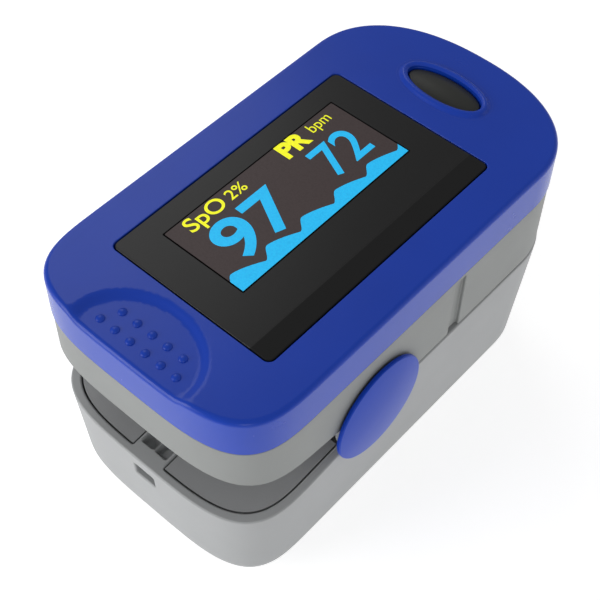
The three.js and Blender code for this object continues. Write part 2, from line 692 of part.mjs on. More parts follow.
function upperFrame() {
  const bottom = PARTING_Z + 0.4
  const tunnelSpace = ovalBar(CHANNEL_BACK_X, LENGTH, frameInnerHalfWidth, upperPadOuter + FIT, CHANNEL_Z)
  const arch = ovalBar(CHANNEL_BACK_X - FRAME_WALL, LENGTH, frameOuterHalfWidth, archOuter, CHANNEL_Z)
    .intersect(slab(0.5, bottom, HEIGHT))
  const flange = slab(INNER_INSET + 0.1, bottom, bottom + 1).intersect(
    block(CHANNEL_BACK_X - FRAME_WALL, LENGTH, -WIDTH, WIDTH, bottom - 1, bottom + 2))
  const plateTop = UPPER_PLATE_Z + FRAME_PLATE
  const plate = slab(INNER_INSET + 0.1, UPPER_PLATE_Z, plateTop).intersect(
    block(-LENGTH, CHANNEL_BACK_X, -WIDTH, WIDTH, UPPER_PLATE_Z - 1, plateTop + 1))
  const backWall = block(CHANNEL_BACK_X - FRAME_WALL, CHANNEL_BACK_X,
    -frameOuterHalfWidth, frameOuterHalfWidth, bottom, plateTop)
  let body = join(arch, flange, plate, backWall)
  for (const { sign } of sides) {
    const lug = join(
      sideBar(sign, HINGE_X, HINGE_Z, upperLugNear, upperLugFar, LUG_RADIUS),
      block(HINGE_X - LUG_RADIUS, HINGE_X + LUG_RADIUS, sign > 0 ? upperLugNear : -upperLugFar,
        sign > 0 ? upperLugFar : -upperLugNear, HINGE_Z, plateTop))
    body = join(body, lug)
  }
  for (const { x, y, headZ, frameTop } of upperScrews) {
    body = join(body, post(x, y, headZ + SCREW_HEAD_HEIGHT + 0.1, frameTop, POST_RADIUS + 0.1))
  }
  body = cut(body, tunnelSpace)
  for (const { sign } of sides) body = cut(body, pinBore(sign, upperLugNear, upperLugFar))
  for (const { x, y, headZ } of upperScrews) {
    body = cut(body, post(x, y, headZ - 1, HEIGHT, SCREW_RADIUS + FIT, 12),
      post(x, y, headZ - 1, headZ + SCREW_HEAD_HEIGHT + 0.1, SCREW_HEAD_RADIUS + FIT, 16))
  }
  return cut(body,
    block(SENSOR_X - ledWindowHalf, SENSOR_X + ledWindowHalf, -LENS_RADIUS, LENS_RADIUS, CEILING_Z, HEIGHT),
    block(HINGE_X - 4.8, HINGE_X - 0.8, -flexSlotHalf, flexSlotHalf, UPPER_PLATE_Z - 1, plateTop + 1))
}

add('upper_frame', upperFrame(), material(darkGrey, 0.6))

// ---- finger pads: half tubes lining the channel
function fingerPad(outer, inner, z0, z1, boreZ0, boreZ1) {
  const tube = cut(
    ovalBar(CHANNEL_BACK_X + FIT, LENGTH, padOuterHalfWidth, outer, CHANNEL_Z),
    ovalBar(CHANNEL_BACK_X - 2, LENGTH + 1, CHANNEL_HALF_WIDTH, inner, CHANNEL_Z))
  return cut(tube.intersect(slab(1, z0, z1)), post(SENSOR_X, 0, boreZ0, boreZ1, LENS_RADIUS + FIT, 24))
}

add('upper_finger_pad', fingerPad(upperPadOuter, CHANNEL_RISE, PARTING_Z + 0.4, HEIGHT, CHANNEL_Z, HEIGHT),
  material(0x2b2d30, 0.8))
add('emitter_lens', post(SENSOR_X, 0, CEILING_Z + 0.1, CEILING_Z + 0.1 + LENS_THICKNESS, LENS_RADIUS, 24),
  material(0xd8e4e8, 0.1))

// The emitter stands on four leads that reach down from the board.
function ledEmitter() {
  const z0 = CEILING_Z + 0.1 + LENS_THICKNESS + FIT
  const halfX = LED_SIZE / 2
  const halfY = LED_SIZE * 0.4
  const leadRadius = 0.25
  let body = block(SENSOR_X - halfX, SENSOR_X + halfX, -halfY, halfY, z0, z0 + LED_HEIGHT)
  for (const x of [SENSOR_X - 1, SENSOR_X + 1]) {
    for (const { sign } of sides) {
      body = join(body, post(x, sign * 0.7, z0 + LED_HEIGHT - 0.2, BOARD_Z - FIT, leadRadius, 8))
    }
  }
  return body
}

add('led_emitter', ledEmitter(), material(0xe9e6dc, 0.4))

// ---- lower shell
// How far the outer face of the lower shell is set in at a height: a drafted wall on a rounded base.
function lowerLevels(extra, floorZ, topZ) {
  const radius = Math.max(BASE_FILLET - extra, 0.5)
  const wallFoot = floorZ + radius
  const taperTop = PARTING_Z - 2.5
  const levels = []
  const place = (z, more) => {
    const share = Math.min(Math.max((taperTop - z) / (taperTop - BASE_FILLET), 0), 1)
    const draft = DRAFT * Math.min(Math.max((PARTING_Z - z) / (PARTING_Z - BASE_FILLET), 0), 1)
    levels.push({ ring: planRing(extra + draft + more, END_TAPER * share), z })
  }
  for (const degrees of [90, 60, 30]) {
    const angle = THREE.MathUtils.degToRad(degrees)
    place(wallFoot - radius * Math.sin(angle), radius * (1 - Math.cos(angle)))
  }
  place(wallFoot, 0)
  place(taperTop, 0)
  place(PARTING_Z, 0)
  if (topZ > PARTING_Z) place(topZ, 0)
  return levels
}

// The band of the lower interior between two heights, a clearance inside the shell wall.
const lowerInside = (extra, z0, z1) =>
  loft(lowerLevels(extra, extra < 0.01 ? 0 : FLOOR, PARTING_Z + 4))
    .intersect(block(-LENGTH, LENGTH, -WIDTH, WIDTH, z0, z1))

function rimCutter(drop) {
  const slope = (LOWER_RIM_HINGE_Z - LOWER_RIM_FRONT_Z) / (HINGE_X - SQUEEZE_X)
  return sideProfile([
    [SQUEEZE_X - 5, LOWER_RIM_FRONT_Z - 5 * slope + drop],
    [HINGE_X, LOWER_RIM_HINGE_Z + drop],
    [HINGE_X, PARTING_Z - SEAM / 2],
    [FINGER_X + 5, PARTING_Z - SEAM / 2],
    [FINGER_X + 5, HEIGHT],
    [SQUEEZE_X - 5, HEIGHT],
  ], -WIDTH, WIDTH)
}

const lanyardTop = LOWER_RIM_FRONT_Z - LANYARD_DROP
const lanyardX1 = SQUEEZE_X + WALL + LANYARD_LENGTH

function lowerShell() {
  const outside = loft(lowerLevels(0, 0, PARTING_Z))
  const inside = loft(lowerLevels(WALL, FLOOR, PARTING_Z + 3))
  let body = cut(outside, inside)
  const tab = block(SQUEEZE_X + WALL - 0.6, lanyardX1, -RIM_TAB_HALF_WIDTH, RIM_TAB_HALF_WIDTH,
    lanyardTop - LANYARD_HEIGHT - 1, PARTING_Z)
  body = join(body, tab)
  for (const { x, y, sign } of lowerScrews) {
    const [y0, y1] = sign > 0 ? [y - 1.4, HALF_WIDTH - 1] : [-HALF_WIDTH + 1, y + 1.4]
    body = join(body, block(x - 2, x + 2, y0, y1, DECK_Z - 1.5, DECK_Z - FIT))
  }
  body = cut(body, rimCutter(0))
  for (const { sign } of sides) {
    body = join(body, sideBar(sign, HINGE_X, HINGE_Z, HALF_WIDTH - WALL, HALF_WIDTH, EAR_RADIUS, 36))
    const holeRadius = CAP_BOSS_RADIUS + FIT
    body = cut(body, sideBar(sign, HINGE_X, HINGE_Z, HALF_WIDTH - WALL - 1, HALF_WIDTH + 1, holeRadius))
  }
  for (const { x, y } of lowerScrews) {
    body = cut(body, post(x, y, DECK_Z - 3, DECK_Z + 1, SCREW_RADIUS + FIT, 12))
  }
  const tongueZ = COVER_THICKNESS * 0.5
  return cut(body,
    ovalBar(CHANNEL_BACK_X, LENGTH, frameOuterHalfWidth + FIT, troughOuter + FIT, CHANNEL_Z).intersect(
      block(CHANNEL_BACK_X, LENGTH, -WIDTH, WIDTH, DECK_Z - FIT, HEIGHT)),
    block(COVER_X - FIT, LENGTH, -coverHalfWidth - FIT, coverHalfWidth + FIT, -1, FLOOR + 0.1),
    block(COVER_X - COVER_TONGUE - FIT, LENGTH, -coverHalfWidth - COVER_TONGUE - FIT,
      coverHalfWidth + COVER_TONGUE + FIT, tongueZ, FLOOR + 0.1),
    block(SQUEEZE_X - 1, lanyardX1 - 0.8, -LANYARD_HALF_WIDTH, LANYARD_HALF_WIDTH,
      lanyardTop - LANYARD_HEIGHT, lanyardTop),
    block(SQUEEZE_X + WALL + RIM_TAB_DEPTH - 0.3, lanyardX1 - 0.8, -LANYARD_HALF_WIDTH, LANYARD_HALF_WIDTH,
      lanyardTop - LANYARD_HEIGHT, PARTING_Z))
}

add('lower_shell', lowerShell(), material(0xa9abad, 0.5))

// ---- lower frame
function lowerFrame() {
  const top = PARTING_Z - 0.15
  const deck = lowerInside(INNER_INSET, DECK_Z, DECK_TOP_Z)
  const finger = block(CHANNEL_BACK_X - FRAME_WALL, LENGTH, -WIDTH, WIDTH, DECK_Z, top)
  const trough = ovalBar(CHANNEL_BACK_X - FRAME_WALL, LENGTH, frameOuterHalfWidth, troughOuter, CHANNEL_Z)
    .intersect(loft(lowerLevels(0.5, FLOOR, PARTING_Z + 4)))
    .intersect(finger)
  const flange = lowerInside(INNER_INSET, top - 1, top).intersect(finger)
  const panelWall = 1
  const panelEnd = HINGE_X - 4.8
  const panel = cut(lowerInside(INNER_INSET, DECK_Z, PARTING_Z), rimCutter(0.1))
    .intersect(block(-LENGTH, panelEnd, -WIDTH, WIDTH, 0, HEIGHT))
  const hollowInside = lowerInside(INNER_INSET + panelWall, DECK_Z - 2, PARTING_Z)
  const hollow = cut(hollowInside, rimCutter(0.1 - panelWall))
    .intersect(block(-LENGTH, panelEnd - panelWall, -WIDTH, WIDTH, 0, HEIGHT))
  let body = join(cut(join(deck, panel), hollow), trough, flange)
  for (const { x, y } of lowerScrews) {
    body = join(body, post(x, y, DECK_Z, DECK_TOP_Z + 1.4, POST_RADIUS + 0.2))
  }
  const lugRadius = LUG_RADIUS - 0.3
  for (const { sign } of sides) {
    const [y0, y1] = sign > 0 ? [lowerLugNear, lowerLugFar] : [-lowerLugFar, -lowerLugNear]
    body = join(body, sideBar(sign, HINGE_X, HINGE_Z, lowerLugNear, lowerLugFar, lugRadius),
      block(HINGE_X - lugRadius, HINGE_X + lugRadius, y0, y1, DECK_Z + 0.5, HINGE_Z))
  }
  body = cut(body, ovalBar(CHANNEL_BACK_X, LENGTH, frameInnerHalfWidth, lowerPadOuter + FIT, CHANNEL_Z))
  for (const { sign } of sides) body = cut(body, pinBore(sign, lowerLugNear, lowerLugFar))
  for (const { x, y } of lowerScrews) {
    body = cut(body, post(x, y, DECK_Z - 1, DECK_TOP_Z + 1, SCREW_RADIUS + FIT, 12))
  }
  const boardRoomX = SENSOR_BOARD_LENGTH / 2 + 0.2
  const boardRoomY = SENSOR_BOARD_WIDTH / 2 + 0.2
  const tabRoom = RIM_TAB_HALF_WIDTH + FIT
  return cut(body,
    block(SENSOR_X - boardRoomX, SENSOR_X + boardRoomX, -boardRoomY, boardRoomY, DECK_TOP_Z - 0.4,
      TROUGH_Z),
    block(CHANNEL_BACK_X - 3, SENSOR_X, -FLEX_WIDTH / 2 - 0.4, FLEX_WIDTH / 2 + 0.4, DECK_TOP_Z - 0.1,
      DECK_TOP_Z + 0.75),
    block(-LENGTH, lanyardX1 + FIT, -tabRoom, tabRoom, DECK_Z - 1, PARTING_Z))
}

add('lower_frame', lowerFrame(), material(darkGrey, 0.6))
add('lower_finger_pad', fingerPad(lowerPadOuter, CHANNEL_SINK, DECK_Z, PARTING_Z - 0.2, DECK_Z, CHANNEL_Z),
  material(0x2b2d30, 0.8))

// ---- sensor under the lower pad
const sensorZ = DECK_TOP_Z - 0.3
const diodeZ = sensorZ + 0.6

// A flat part centred on the sensor's place: half sizes, bottom and top.
const atSensor = (halfX, halfY, z0, z1) => block(SENSOR_X - halfX, SENSOR_X + halfX, -halfY, halfY, z0, z1)

add('sensor_board',
  atSensor(SENSOR_BOARD_LENGTH / 2, SENSOR_BOARD_WIDTH / 2, sensorZ, diodeZ - 0.05),
  material(0x1f5a36, 0.5))
add('photodiode', atSensor(DIODE_SIZE / 2, DIODE_SIZE / 2, diodeZ, diodeZ + 0.6), material(0x30323a, 0.2))
add('photodiode_lens', post(SENSOR_X, 0, TROUGH_Z - 0.1 - LENS_THICKNESS, TROUGH_Z - 0.1, LENS_RADIUS, 24),
  material(0xd8e4e8, 0.1))

// ---- hinge pins, side caps and closing springs
for (const { name, sign } of sides) {
  const capSeat = HALF_WIDTH + 0.1
  const pinFar = capSeat + CAP_RIM - 0.3
  const place = (y) => sign * y
  add(`hinge_pin_${name}`, sideBar(sign, HINGE_X, HINGE_Z, pinFar - PIN_LENGTH, pinFar, PIN_RADIUS, 24),
    material(0xc9cccf, 0.25, 1))

  const profile = [[0, 0], [CAP_RADIUS, 0], [CAP_RADIUS, CAP_RIM - 0.15], [CAP_RADIUS - 0.15, CAP_RIM]]
  for (const share of [0.85, 0.65, 0.45, 0.22]) {
    profile.push([CAP_RADIUS * share, CAP_RIM + CAP_DOME * (1 - share ** 2)])
  }
  profile.push([0, CAP_RIM + CAP_DOME])
  const lathe = new THREE.LatheGeometry(profile.map(([r, h]) => new THREE.Vector2(r, h)), 36)
  if (sign < 0) lathe.rotateX(Math.PI)
  lathe.translate(HINGE_X, place(capSeat), HINGE_Z)
  const boss = sideBar(sign, HINGE_X, HINGE_Z, HALF_WIDTH - WALL, capSeat + 0.1, CAP_BOSS_RADIUS, 24)
  const bore = sideBar(sign, HINGE_X, HINGE_Z, HALF_WIDTH - WALL - 1, pinFar + 0.1, PIN_RADIUS + 0.1, 24)
  add(`side_cap_${name}`, cut(join(solid(lathe), boss), bore), material(0x4250ae, 0.35))

  const coilStart = lowerLugNear - PLAY - SPRING_WIRE / 2
  const pitch = SPRING_WIRE + 0.08
  const perTurn = 8
  const total = SPRING_TURNS * perTurn + perTurn / 2
  const legX = HINGE_X - SPRING_LEG
  const points = [[legX, place(coilStart), HINGE_Z - SPRING_RADIUS - 0.4]]
  for (let i = 0; i <= total; i++) {
    const angle = -Math.PI / 2 + (2 * Math.PI * i) / perTurn
    points.push([HINGE_X + SPRING_RADIUS * Math.cos(angle), place(coilStart - (pitch * i) / perTurn),
      HINGE_Z + SPRING_RADIUS * Math.sin(angle)])
  }
  points.push([legX, place(coilStart - (pitch * total) / perTurn), UPPER_PLATE_Z - SPRING_WIRE / 2 - 0.5])
  add(`torsion_spring_${name}`, swept(points, roundSection(SPRING_WIRE / 2, 5), 48),
    material(0xb5b8bb, 0.3, 1))
}

// ---- flexible circuit from the main board, past the hinge, to the sensor board
const flexPath = [
  [HINGE_X - 3.8, BOARD_Z - 0.7],
  [HINGE_X - 3.2, BOARD_Z - 1],
  [HINGE_X - 2.8, BOARD_Z - 2],
  [HINGE_X - 2.6, UPPER_PLATE_Z],
  [HINGE_X - 1.8, HINGE_Z + 2],
  [HINGE_X - 0.8, HINGE_Z - 1.4],
  [HINGE_X - 0.1, DECK_TOP_Z + 2.2],
  [HINGE_X + 1, DECK_TOP_Z + 0.7],
  [HINGE_X + 2.8, DECK_TOP_Z + 0.25],
  [HINGE_X + 5.8, DECK_TOP_Z + 0.2],
  [SENSOR_X - SENSOR_BOARD_LENGTH / 2 - FIT, DECK_TOP_Z + 0.2],
].map(([x, z]) => [x, 0, z])
add('flex_cable', swept(flexPath, flatSection(FLEX_WIDTH, FLEX_THICKNESS), 26), material(0xb06a28, 0.5))

// ---- cells: the first points its positive end to the finger end, the second to the squeeze end
function cell(y, x0, positiveTowardsFinger) {
  const x1 = x0 + CELL_LENGTH
  const overlap = 0.5
  const can = positiveTowardsFinger ? [x0, x1 - CELL_NUB_LENGTH] : [x0 + CELL_NUB_LENGTH, x1]
  const nub = positiveTowardsFinger
    ? [x1 - CELL_NUB_LENGTH - overlap, x1]
    : [x0, x0 + CELL_NUB_LENGTH + overlap]
  return join(
    lengthBar(y, CELL_Z, can[0], can[1], CELL_RADIUS, 36),
    lengthBar(y, CELL_Z, nub[0], nub[1], CELL_NUB_RADIUS, 16))
}

const cellOneY = -cellPitch / 2
const cellTwoY = cellPitch / 2
add('battery_1', cell(cellOneY, CELL_ONE_X, true), material(0xb8862e, 0.35, 0.5))
add('battery_2', cell(cellTwoY, CELL_TWO_X, false), material(0xb8862e, 0.35, 0.5))

// A contact spring: a conical coil from a plate at plateX towards a cell, to tipX.
function contactSpring(y, plateX, tipX) {
  const turns = 2.5
  const perTurn = 10
  const total = turns * perTurn
  const wideRadius = 3.1
  const narrowing = 1.3
  const way = Math.sign(tipX - plateX)
  const start = plateX - way * 0.1
  const end = tipX - way * 0.3
  const points = []
  for (let i = 0; i <= total; i++) {
    const share = i / total
    const angle = (2 * Math.PI * i) / perTurn
    const radius = wideRadius - narrowing * share
    const x = start + (end - start) * share
    points.push([x, y + radius * Math.cos(angle), CELL_Z + radius * Math.sin(angle)])
  }
  return swept(points, roundSection(CONTACT_WIRE / 2, 5), 34)
}

// A contact plate across the cells, with its face at x.
const contactPlate = (x, y0, y1) =>
  block(x, x + CONTACT_THICKNESS, y0, y1, CELL_Z - CONTACT_HALF_HEIGHT, CELL_Z + CONTACT_HALF_HEIGHT)

const cellOneEnd = CELL_ONE_X + CELL_LENGTH
const cellTwoEnd = CELL_TWO_X + CELL_LENGTH
const plateReach = cellPitch / 2 + 2.8
const bridgeX = cellOneEnd + FIT + 0.85
add('contact_bridge', join(
  contactPlate(bridgeX, -plateReach, plateReach),
  lengthBar(cellOneY, CELL_Z, cellOneEnd + FIT, bridgeX + 0.1, CONTACT_DIMPLE_RADIUS, 16),
  contactSpring(cellTwoY, bridgeX, cellTwoEnd + FIT)),
material(0xc4c7ca, 0.3, 1))

const negativeX = CELL_ONE_X - CONTACT_SPRING_LENGTH - CONTACT_THICKNESS
add('negative_contact', join(
  contactPlate(negativeX, cellOneY - 3.8, cellOneY + 2.4),
  contactSpring(cellOneY, negativeX + CONTACT_THICKNESS, CELL_ONE_X - FIT)),
material(0xc4c7ca, 0.3, 1))

const positiveX = CELL_TWO_X - FIT - 0.6
add('positive_contact', join(
  contactPlate(positiveX - CONTACT_THICKNESS, cellTwoY - 2.4, cellTwoY + 3.8),
  lengthBar(cellTwoY, CELL_Z, positiveX - 0.1, CELL_TWO_X - FIT, CONTACT_DIMPLE_RADIUS, 16)),
material(0xc4c7ca, 0.3, 1))

// ---- battery cover
function batteryCover() {
  const outside = loft(lowerLevels(0, 0, PARTING_Z))
  const plate = block(COVER_X, LENGTH, -coverHalfWidth, coverHalfWidth, -1, COVER_THICKNESS)
  const tongue = block(COVER_X - COVER_TONGUE, FINGER_X - 10, -coverHalfWidth - COVER_TONGUE,
    coverHalfWidth + COVER_TONGUE, COVER_THICKNESS * 0.5 + FIT, COVER_THICKNESS)
  let body = join(plate, tongue).intersect(outside)
  for (let i = 0; i < 5; i++) {
    const x = FINGER_X - 19 + i * COVER_RIB_PITCH
    body = cut(body, block(x, x + COVER_RIB_PITCH / 2, -5, 5, -1, 0.3))
  }
  return body
}

add('battery_cover', batteryCover(), material(0xa9abad, 0.5))

// ---- screws
function screw(x, y, headZ, length) {
  return join(post(x, y, headZ, headZ + SCREW_HEAD_HEIGHT, SCREW_HEAD_RADIUS, 16),
    post(x, y, headZ + SCREW_HEAD_HEIGHT - 0.1, headZ + SCREW_HEAD_HEIGHT + length, SCREW_RADIUS, 10))
}

upperScrews.forEach(({ x, y, headZ }, i) => {
  add(`upper_screw_${i + 1}`, screw(x, y, headZ, SCREW_LENGTH), material(0x3b3d40, 0.4, 0.9))
})
lowerScrews.forEach(({ x, y }, i) => {
  const headZ = DECK_Z - 1.6 - SCREW_HEAD_HEIGHT
  add(`lower_screw_${i + 1}`, screw(x, y, headZ, LOWER_SCREW_LENGTH), material(0x3b3d40, 0.4, 0.9))
})

export default oximeter
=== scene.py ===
import math

import bmesh
import bpy
from mathutils import Matrix, Vector
from mathutils.geometry import delaunay_2d_cdt


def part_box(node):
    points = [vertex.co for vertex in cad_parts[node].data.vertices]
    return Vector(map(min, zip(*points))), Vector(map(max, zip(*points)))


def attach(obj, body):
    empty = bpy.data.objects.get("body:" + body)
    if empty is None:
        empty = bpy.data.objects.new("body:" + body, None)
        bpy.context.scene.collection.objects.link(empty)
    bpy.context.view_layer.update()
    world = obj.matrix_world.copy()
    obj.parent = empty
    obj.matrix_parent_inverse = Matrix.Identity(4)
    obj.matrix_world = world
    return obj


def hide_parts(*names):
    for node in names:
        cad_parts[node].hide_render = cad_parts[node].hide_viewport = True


bl_info = {
    "name": "Fingertip Pulse Oximeter",
    "version": (1, 0, 0),
    "blender": (4, 5, 0),
    "location": "3D View > Sidebar > Oximeter",
    "description": "Builds the finished surfaces of a fingertip pulse oximeter round its packed frame",
    "category": "Add Mesh",
}

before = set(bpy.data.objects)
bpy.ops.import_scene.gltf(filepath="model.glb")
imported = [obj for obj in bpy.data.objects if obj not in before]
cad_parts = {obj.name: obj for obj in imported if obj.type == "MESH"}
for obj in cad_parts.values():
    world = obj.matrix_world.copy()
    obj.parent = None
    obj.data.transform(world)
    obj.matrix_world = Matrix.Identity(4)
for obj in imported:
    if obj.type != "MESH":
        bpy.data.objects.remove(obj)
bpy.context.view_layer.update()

# Meshes are drawn in millimetres and scaled to metres when a piece is finished.
MM = 0.001
TAU = 2 * math.pi


def box_mm(node):
    low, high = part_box(node)
    return low / MM, high / MM


# ---- places read from the frame, in millimetres
LID_LOW, LID_HIGH = box_mm("top_cover")
WINDOW_LOW, WINDOW_HIGH = box_mm("display_window")
BUTTON_LOW, BUTTON_HIGH = box_mm("power_button")
UPPER_LOW, UPPER_HIGH = box_mm("upper_shell")
COVER_LOW, COVER_HIGH = box_mm("battery_cover")
CAP_LOW, CAP_HIGH = box_mm("side_cap_left")
PAD_LOW, PAD_HIGH = box_mm("upper_finger_pad")
LOWER_PAD_LOW, LOWER_PAD_HIGH = box_mm("lower_finger_pad")

FINGER_X = LID_HIGH.x
SQUEEZE_X = LID_LOW.x
HALF_WIDTH = LID_HIGH.y
TOP_Z = WINDOW_HIGH.z
LID_TONGUE = 1.2
LID_BASE_Z = UPPER_HIGH.z - LID_TONGUE
SEAM = 0.2
PARTING_Z = UPPER_LOW.z - SEAM / 2
HINGE_X = (CAP_LOW.x + CAP_HIGH.x) / 2
HINGE_Z = (CAP_LOW.z + CAP_HIGH.z) / 2
CAP_RADIUS = (CAP_HIGH.x - CAP_LOW.x) / 2
BUTTON_X = (BUTTON_LOW.x + BUTTON_HIGH.x) / 2
CHANNEL_Z = PARTING_Z + SEAM
DECK_Z = box_mm("lower_frame")[0].z
LENS_LOW, LENS_HIGH = box_mm("emitter_lens")
LENS_X = (LENS_LOW.x + LENS_HIGH.x) / 2
LENS_RADIUS = (LENS_HIGH.x - LENS_LOW.x) / 2
CHANNEL_HALF_WIDTH = 9.2
COVER_TONGUE = 0.7

UPPER_BODY = "upper_jaw"
LOWER_BODY = "lower_body"

END_STEPS = 64
FIT = 0.15


# ---- settings kept on the scene
def length(name, description, default):
    return bpy.props.FloatProperty(
        name=name, description=description, default=default * MM, unit="LENGTH", precision=5
    )


def number(name, description, default):
    return bpy.props.FloatProperty(name=name, description=description, default=default)


def tint(name, description, default):
    return bpy.props.FloatVectorProperty(
        name=name, description=description, default=default, subtype="COLOR", size=3, min=0, max=1
    )


class HousingSettings(bpy.types.PropertyGroup):
    """Sizes of the three shells"""

    finger_end_depth: length("Finger end depth", "Length of the curved finger end in plan", 11.4)
    finger_end_power: number("Finger end power", "Squareness of the finger end in plan", 2.28)
    squeeze_end_depth: length("Squeeze end depth", "Length of the curved squeeze end in plan", 11.8)
    squeeze_end_power: number("Squeeze end power", "Squareness of the squeeze end in plan", 3.9)
    wall: length("Wall", "Thickness of the shells", 1.4)
    rim_wall: length("Rim wall", "Thickness of the lower shell at its rim", 1.0)
    edge_radius: length("Lid edge radius", "Rounding of the lid's top edge", 0.6)
    upper_edge_rise: length("Upper edge rise", "Lower edge of the upper shell over the parting line", 3.9)
    upper_edge_hinge_rise: length("Upper edge rise at hinge", "The same beside the hinge", 1.0)
    rim_drop: length("Rim drop", "Rim of the lower shell under the parting line", 4.9)
    rim_hinge_drop: length("Rim drop at hinge", "The same beside the hinge", 2.7)
    draft: length("Draft", "How far the lower wall is drawn in at its foot", 0.9)
    end_taper: length("Finger end taper", "How far the finger end is drawn in at its foot", 1.2)
    base_fillet: length("Base fillet", "Rounding between the wall and the base", 3.5)
    floor: length("Floor", "Thickness of the base", 1.5)
    ear_radius: length("Ear radius", "Ear of the lower shell that carries the side cap", 5.6)
    scoop_depth: length("Thumb scoop depth", "Depth of the thumb scoop in the lid", 0.5)
    scoop_length: length("Thumb scoop length", "Half length of the thumb scoop", 6.6)
    scoop_width: length("Thumb scoop width", "Half width of the thumb scoop", 8.3)


class DisplaySettings(bpy.types.PropertyGroup):
    """The lit picture behind the window"""

    width: length("Width", "Lit width along the length of the lid", 26.3)
    height: length("Height", "Lit height across the lid", 11.1)
    start: length("Start", "From the window's squeeze end to the lit picture", 4.65)
    side: length("Side", "From the window's right edge to the lit picture", 7.8)
    beats: bpy.props.IntProperty(name="Beats", description="Pulses in the wave", default=5, min=1)
    oxygen: bpy.props.IntProperty(name="Oxygen", description="Left figure, in percent", default=97)
    pulse: bpy.props.IntProperty(name="Pulse", description="Right figure, per minute", default=72)


class FinishSettings(bpy.types.PropertyGroup):
    """Colours of the finishes"""

    blue: tint("Blue", "Lid and side caps", (0.005, 0.048, 0.450))
    upper_grey: tint("Upper grey", "Upper shell", (0.248, 0.258, 0.253))
    lower_grey: tint("Lower grey", "Lower shell and cell cover", (0.362, 0.371, 0.377))
    inner_grey: tint("Inner grey", "Frames inside the shells", (0.300, 0.305, 0.312))
    window_black: tint("Window black", "Printed window", (0.011, 0.011, 0.011))
    screen: tint("Screen", "Unlit part of the picture", (0.060, 0.045, 0.045))
    figures: tint("Figures", "Lit figures and wave", (0.019, 0.468, 0.855))
    labels: tint("Labels", "Lit labels", (0.871, 0.871, 0.021))
    button_black: tint("Button black", "Power button", (0.024, 0.025, 0.022))


class OximeterSettings(bpy.types.PropertyGroup):
    """All settings of the model"""

    housing: bpy.props.PointerProperty(type=HousingSettings)
    display: bpy.props.PointerProperty(type=DisplaySettings)
    finish: bpy.props.PointerProperty(type=FinishSettings)


def settings():
    return bpy.context.scene.oximeter


def housing(name):
    """A length of the housing in millimetres."""
    return getattr(settings().housing, name) / MM


def display(name):
    """A length of the display in millimetres."""
    return getattr(settings().display, name) / MM


# ---- outlines: lists of points in a plane
def plan_ring(inset=0.0, finger_inset=0.0):
    """Plan outline of the housing: two superellipse ends, set in all round."""
    half_width = HALF_WIDTH - inset
    points = []
    ends = (
        (1, FINGER_X - inset - finger_inset, housing("finger_end_depth") - inset - finger_inset,
         settings().housing.finger_end_power),
        (-1, SQUEEZE_X + inset, housing("squeeze_end_depth") - inset, settings().housing.squeeze_end_power),
    )
    for side, tip, depth, power in ends:
        for i in range(END_STEPS + 1):
            angle = math.pi * (i / END_STEPS - 0.5)
            along = abs(math.cos(angle)) ** (2 / power)
            across = math.copysign(abs(math.sin(angle)) ** (2 / power), math.sin(angle))
            points.append((tip - side * max(depth, 1.0) * (1 - along), side * half_width * across))
    return points


def oval(x, y, half_x, half_y, steps=96):
    angles = [TAU * i / steps for i in range(steps)]
    return [(x + half_x * math.cos(a), y + half_y * math.sin(a)) for a in angles]


def rounded_rectangle(x0, x1, y0, y1, radius, steps=8):
    points = []
    corners = ((x1, y0, -1, 1, -90), (x1, y1, -1, -1, 0), (x0, y1, 1, -1, 90), (x0, y0, 1, 1, 180))
    for x, y, way_x, way_y, start in corners:
        for i in range(steps + 1):
            angle = math.radians(start + 90 * i / steps)
            points.append((
                x + way_x * radius + radius * math.cos(angle),
                y + way_y * radius + radius * math.sin(angle),
            ))
    return points


def flat(points, z):
    return [(x, y, z) for x, y in points]


def across(points, y):
    return [(x, y, z) for x, z in points]


def along(points, x):
    return [(x, y, z) for y, z in points]


# ---- meshes in millimetres
def make(name, points, faces):
    """A mesh object with its faces pointing outwards."""
    mesh = bpy.data.meshes.new(name)
    mesh.from_pydata(points, [], faces)
    drawing = bmesh.new()
    drawing.from_mesh(mesh)
    bmesh.ops.remove_doubles(drawing, verts=drawing.verts, dist=1e-5)
    bmesh.ops.recalc_face_normals(drawing, faces=drawing.faces)
    drawing.to_mesh(mesh)
    drawing.free()
    obj = bpy.data.objects.new(name, mesh)
    bpy.context.scene.collection.objects.link(obj)
    return obj


def sides_of(count, rows, closed=False):
    faces = []
    for row in range(rows if closed else rows - 1):
        for i in range(count):
            j = (i + 1) % count
            low, high = row * count, (row + 1) % rows * count
            faces.append((low + i, low + j, high + j, high + i))
    return faces


def stack(name, loops):
    """A closed solid through a stack of loops with equal numbers of points."""
    count = len(loops[0])
    points = [p for loop in loops for p in loop]
    faces = sides_of(count, len(loops))
    faces.append(tuple(range(count))[::-1])
    faces.append(tuple(range(len(points) - count, len(points))))
    return make(name, points, faces)


def hoop(name, sections):
    """A closed ring through sections with equal numbers of points."""
    points = [p for section in sections for p in section]
    return make(name, points, sides_of(len(sections[0]), len(sections), closed=True))


def block(name, x0, x1, y0, y1, z0, z1):
    corners = [(x0, y0), (x1, y0), (x1, y1), (x0, y1)]
    return stack(name, [flat(corners, z0), flat(corners, z1)])


def join(target, *others):
    """Puts the meshes of the others into the target, without merging them."""
    drawing = bmesh.new()
    for obj in (target, *others):
        drawing.from_mesh(obj.data)
    drawing.to_mesh(target.data)
    drawing.free()
    for obj in others:
        bpy.data.objects.remove(obj)
    return target


def plain(obj):
    """Replaces the object's mesh by the result of its modifiers."""
    bpy.context.view_layer.update()
    graph = bpy.context.evaluated_depsgraph_get()
    mesh = bpy.data.meshes.new_from_object(obj.evaluated_get(graph), depsgraph=graph)
    obj.modifiers.clear()
    obj.data = mesh
    return obj


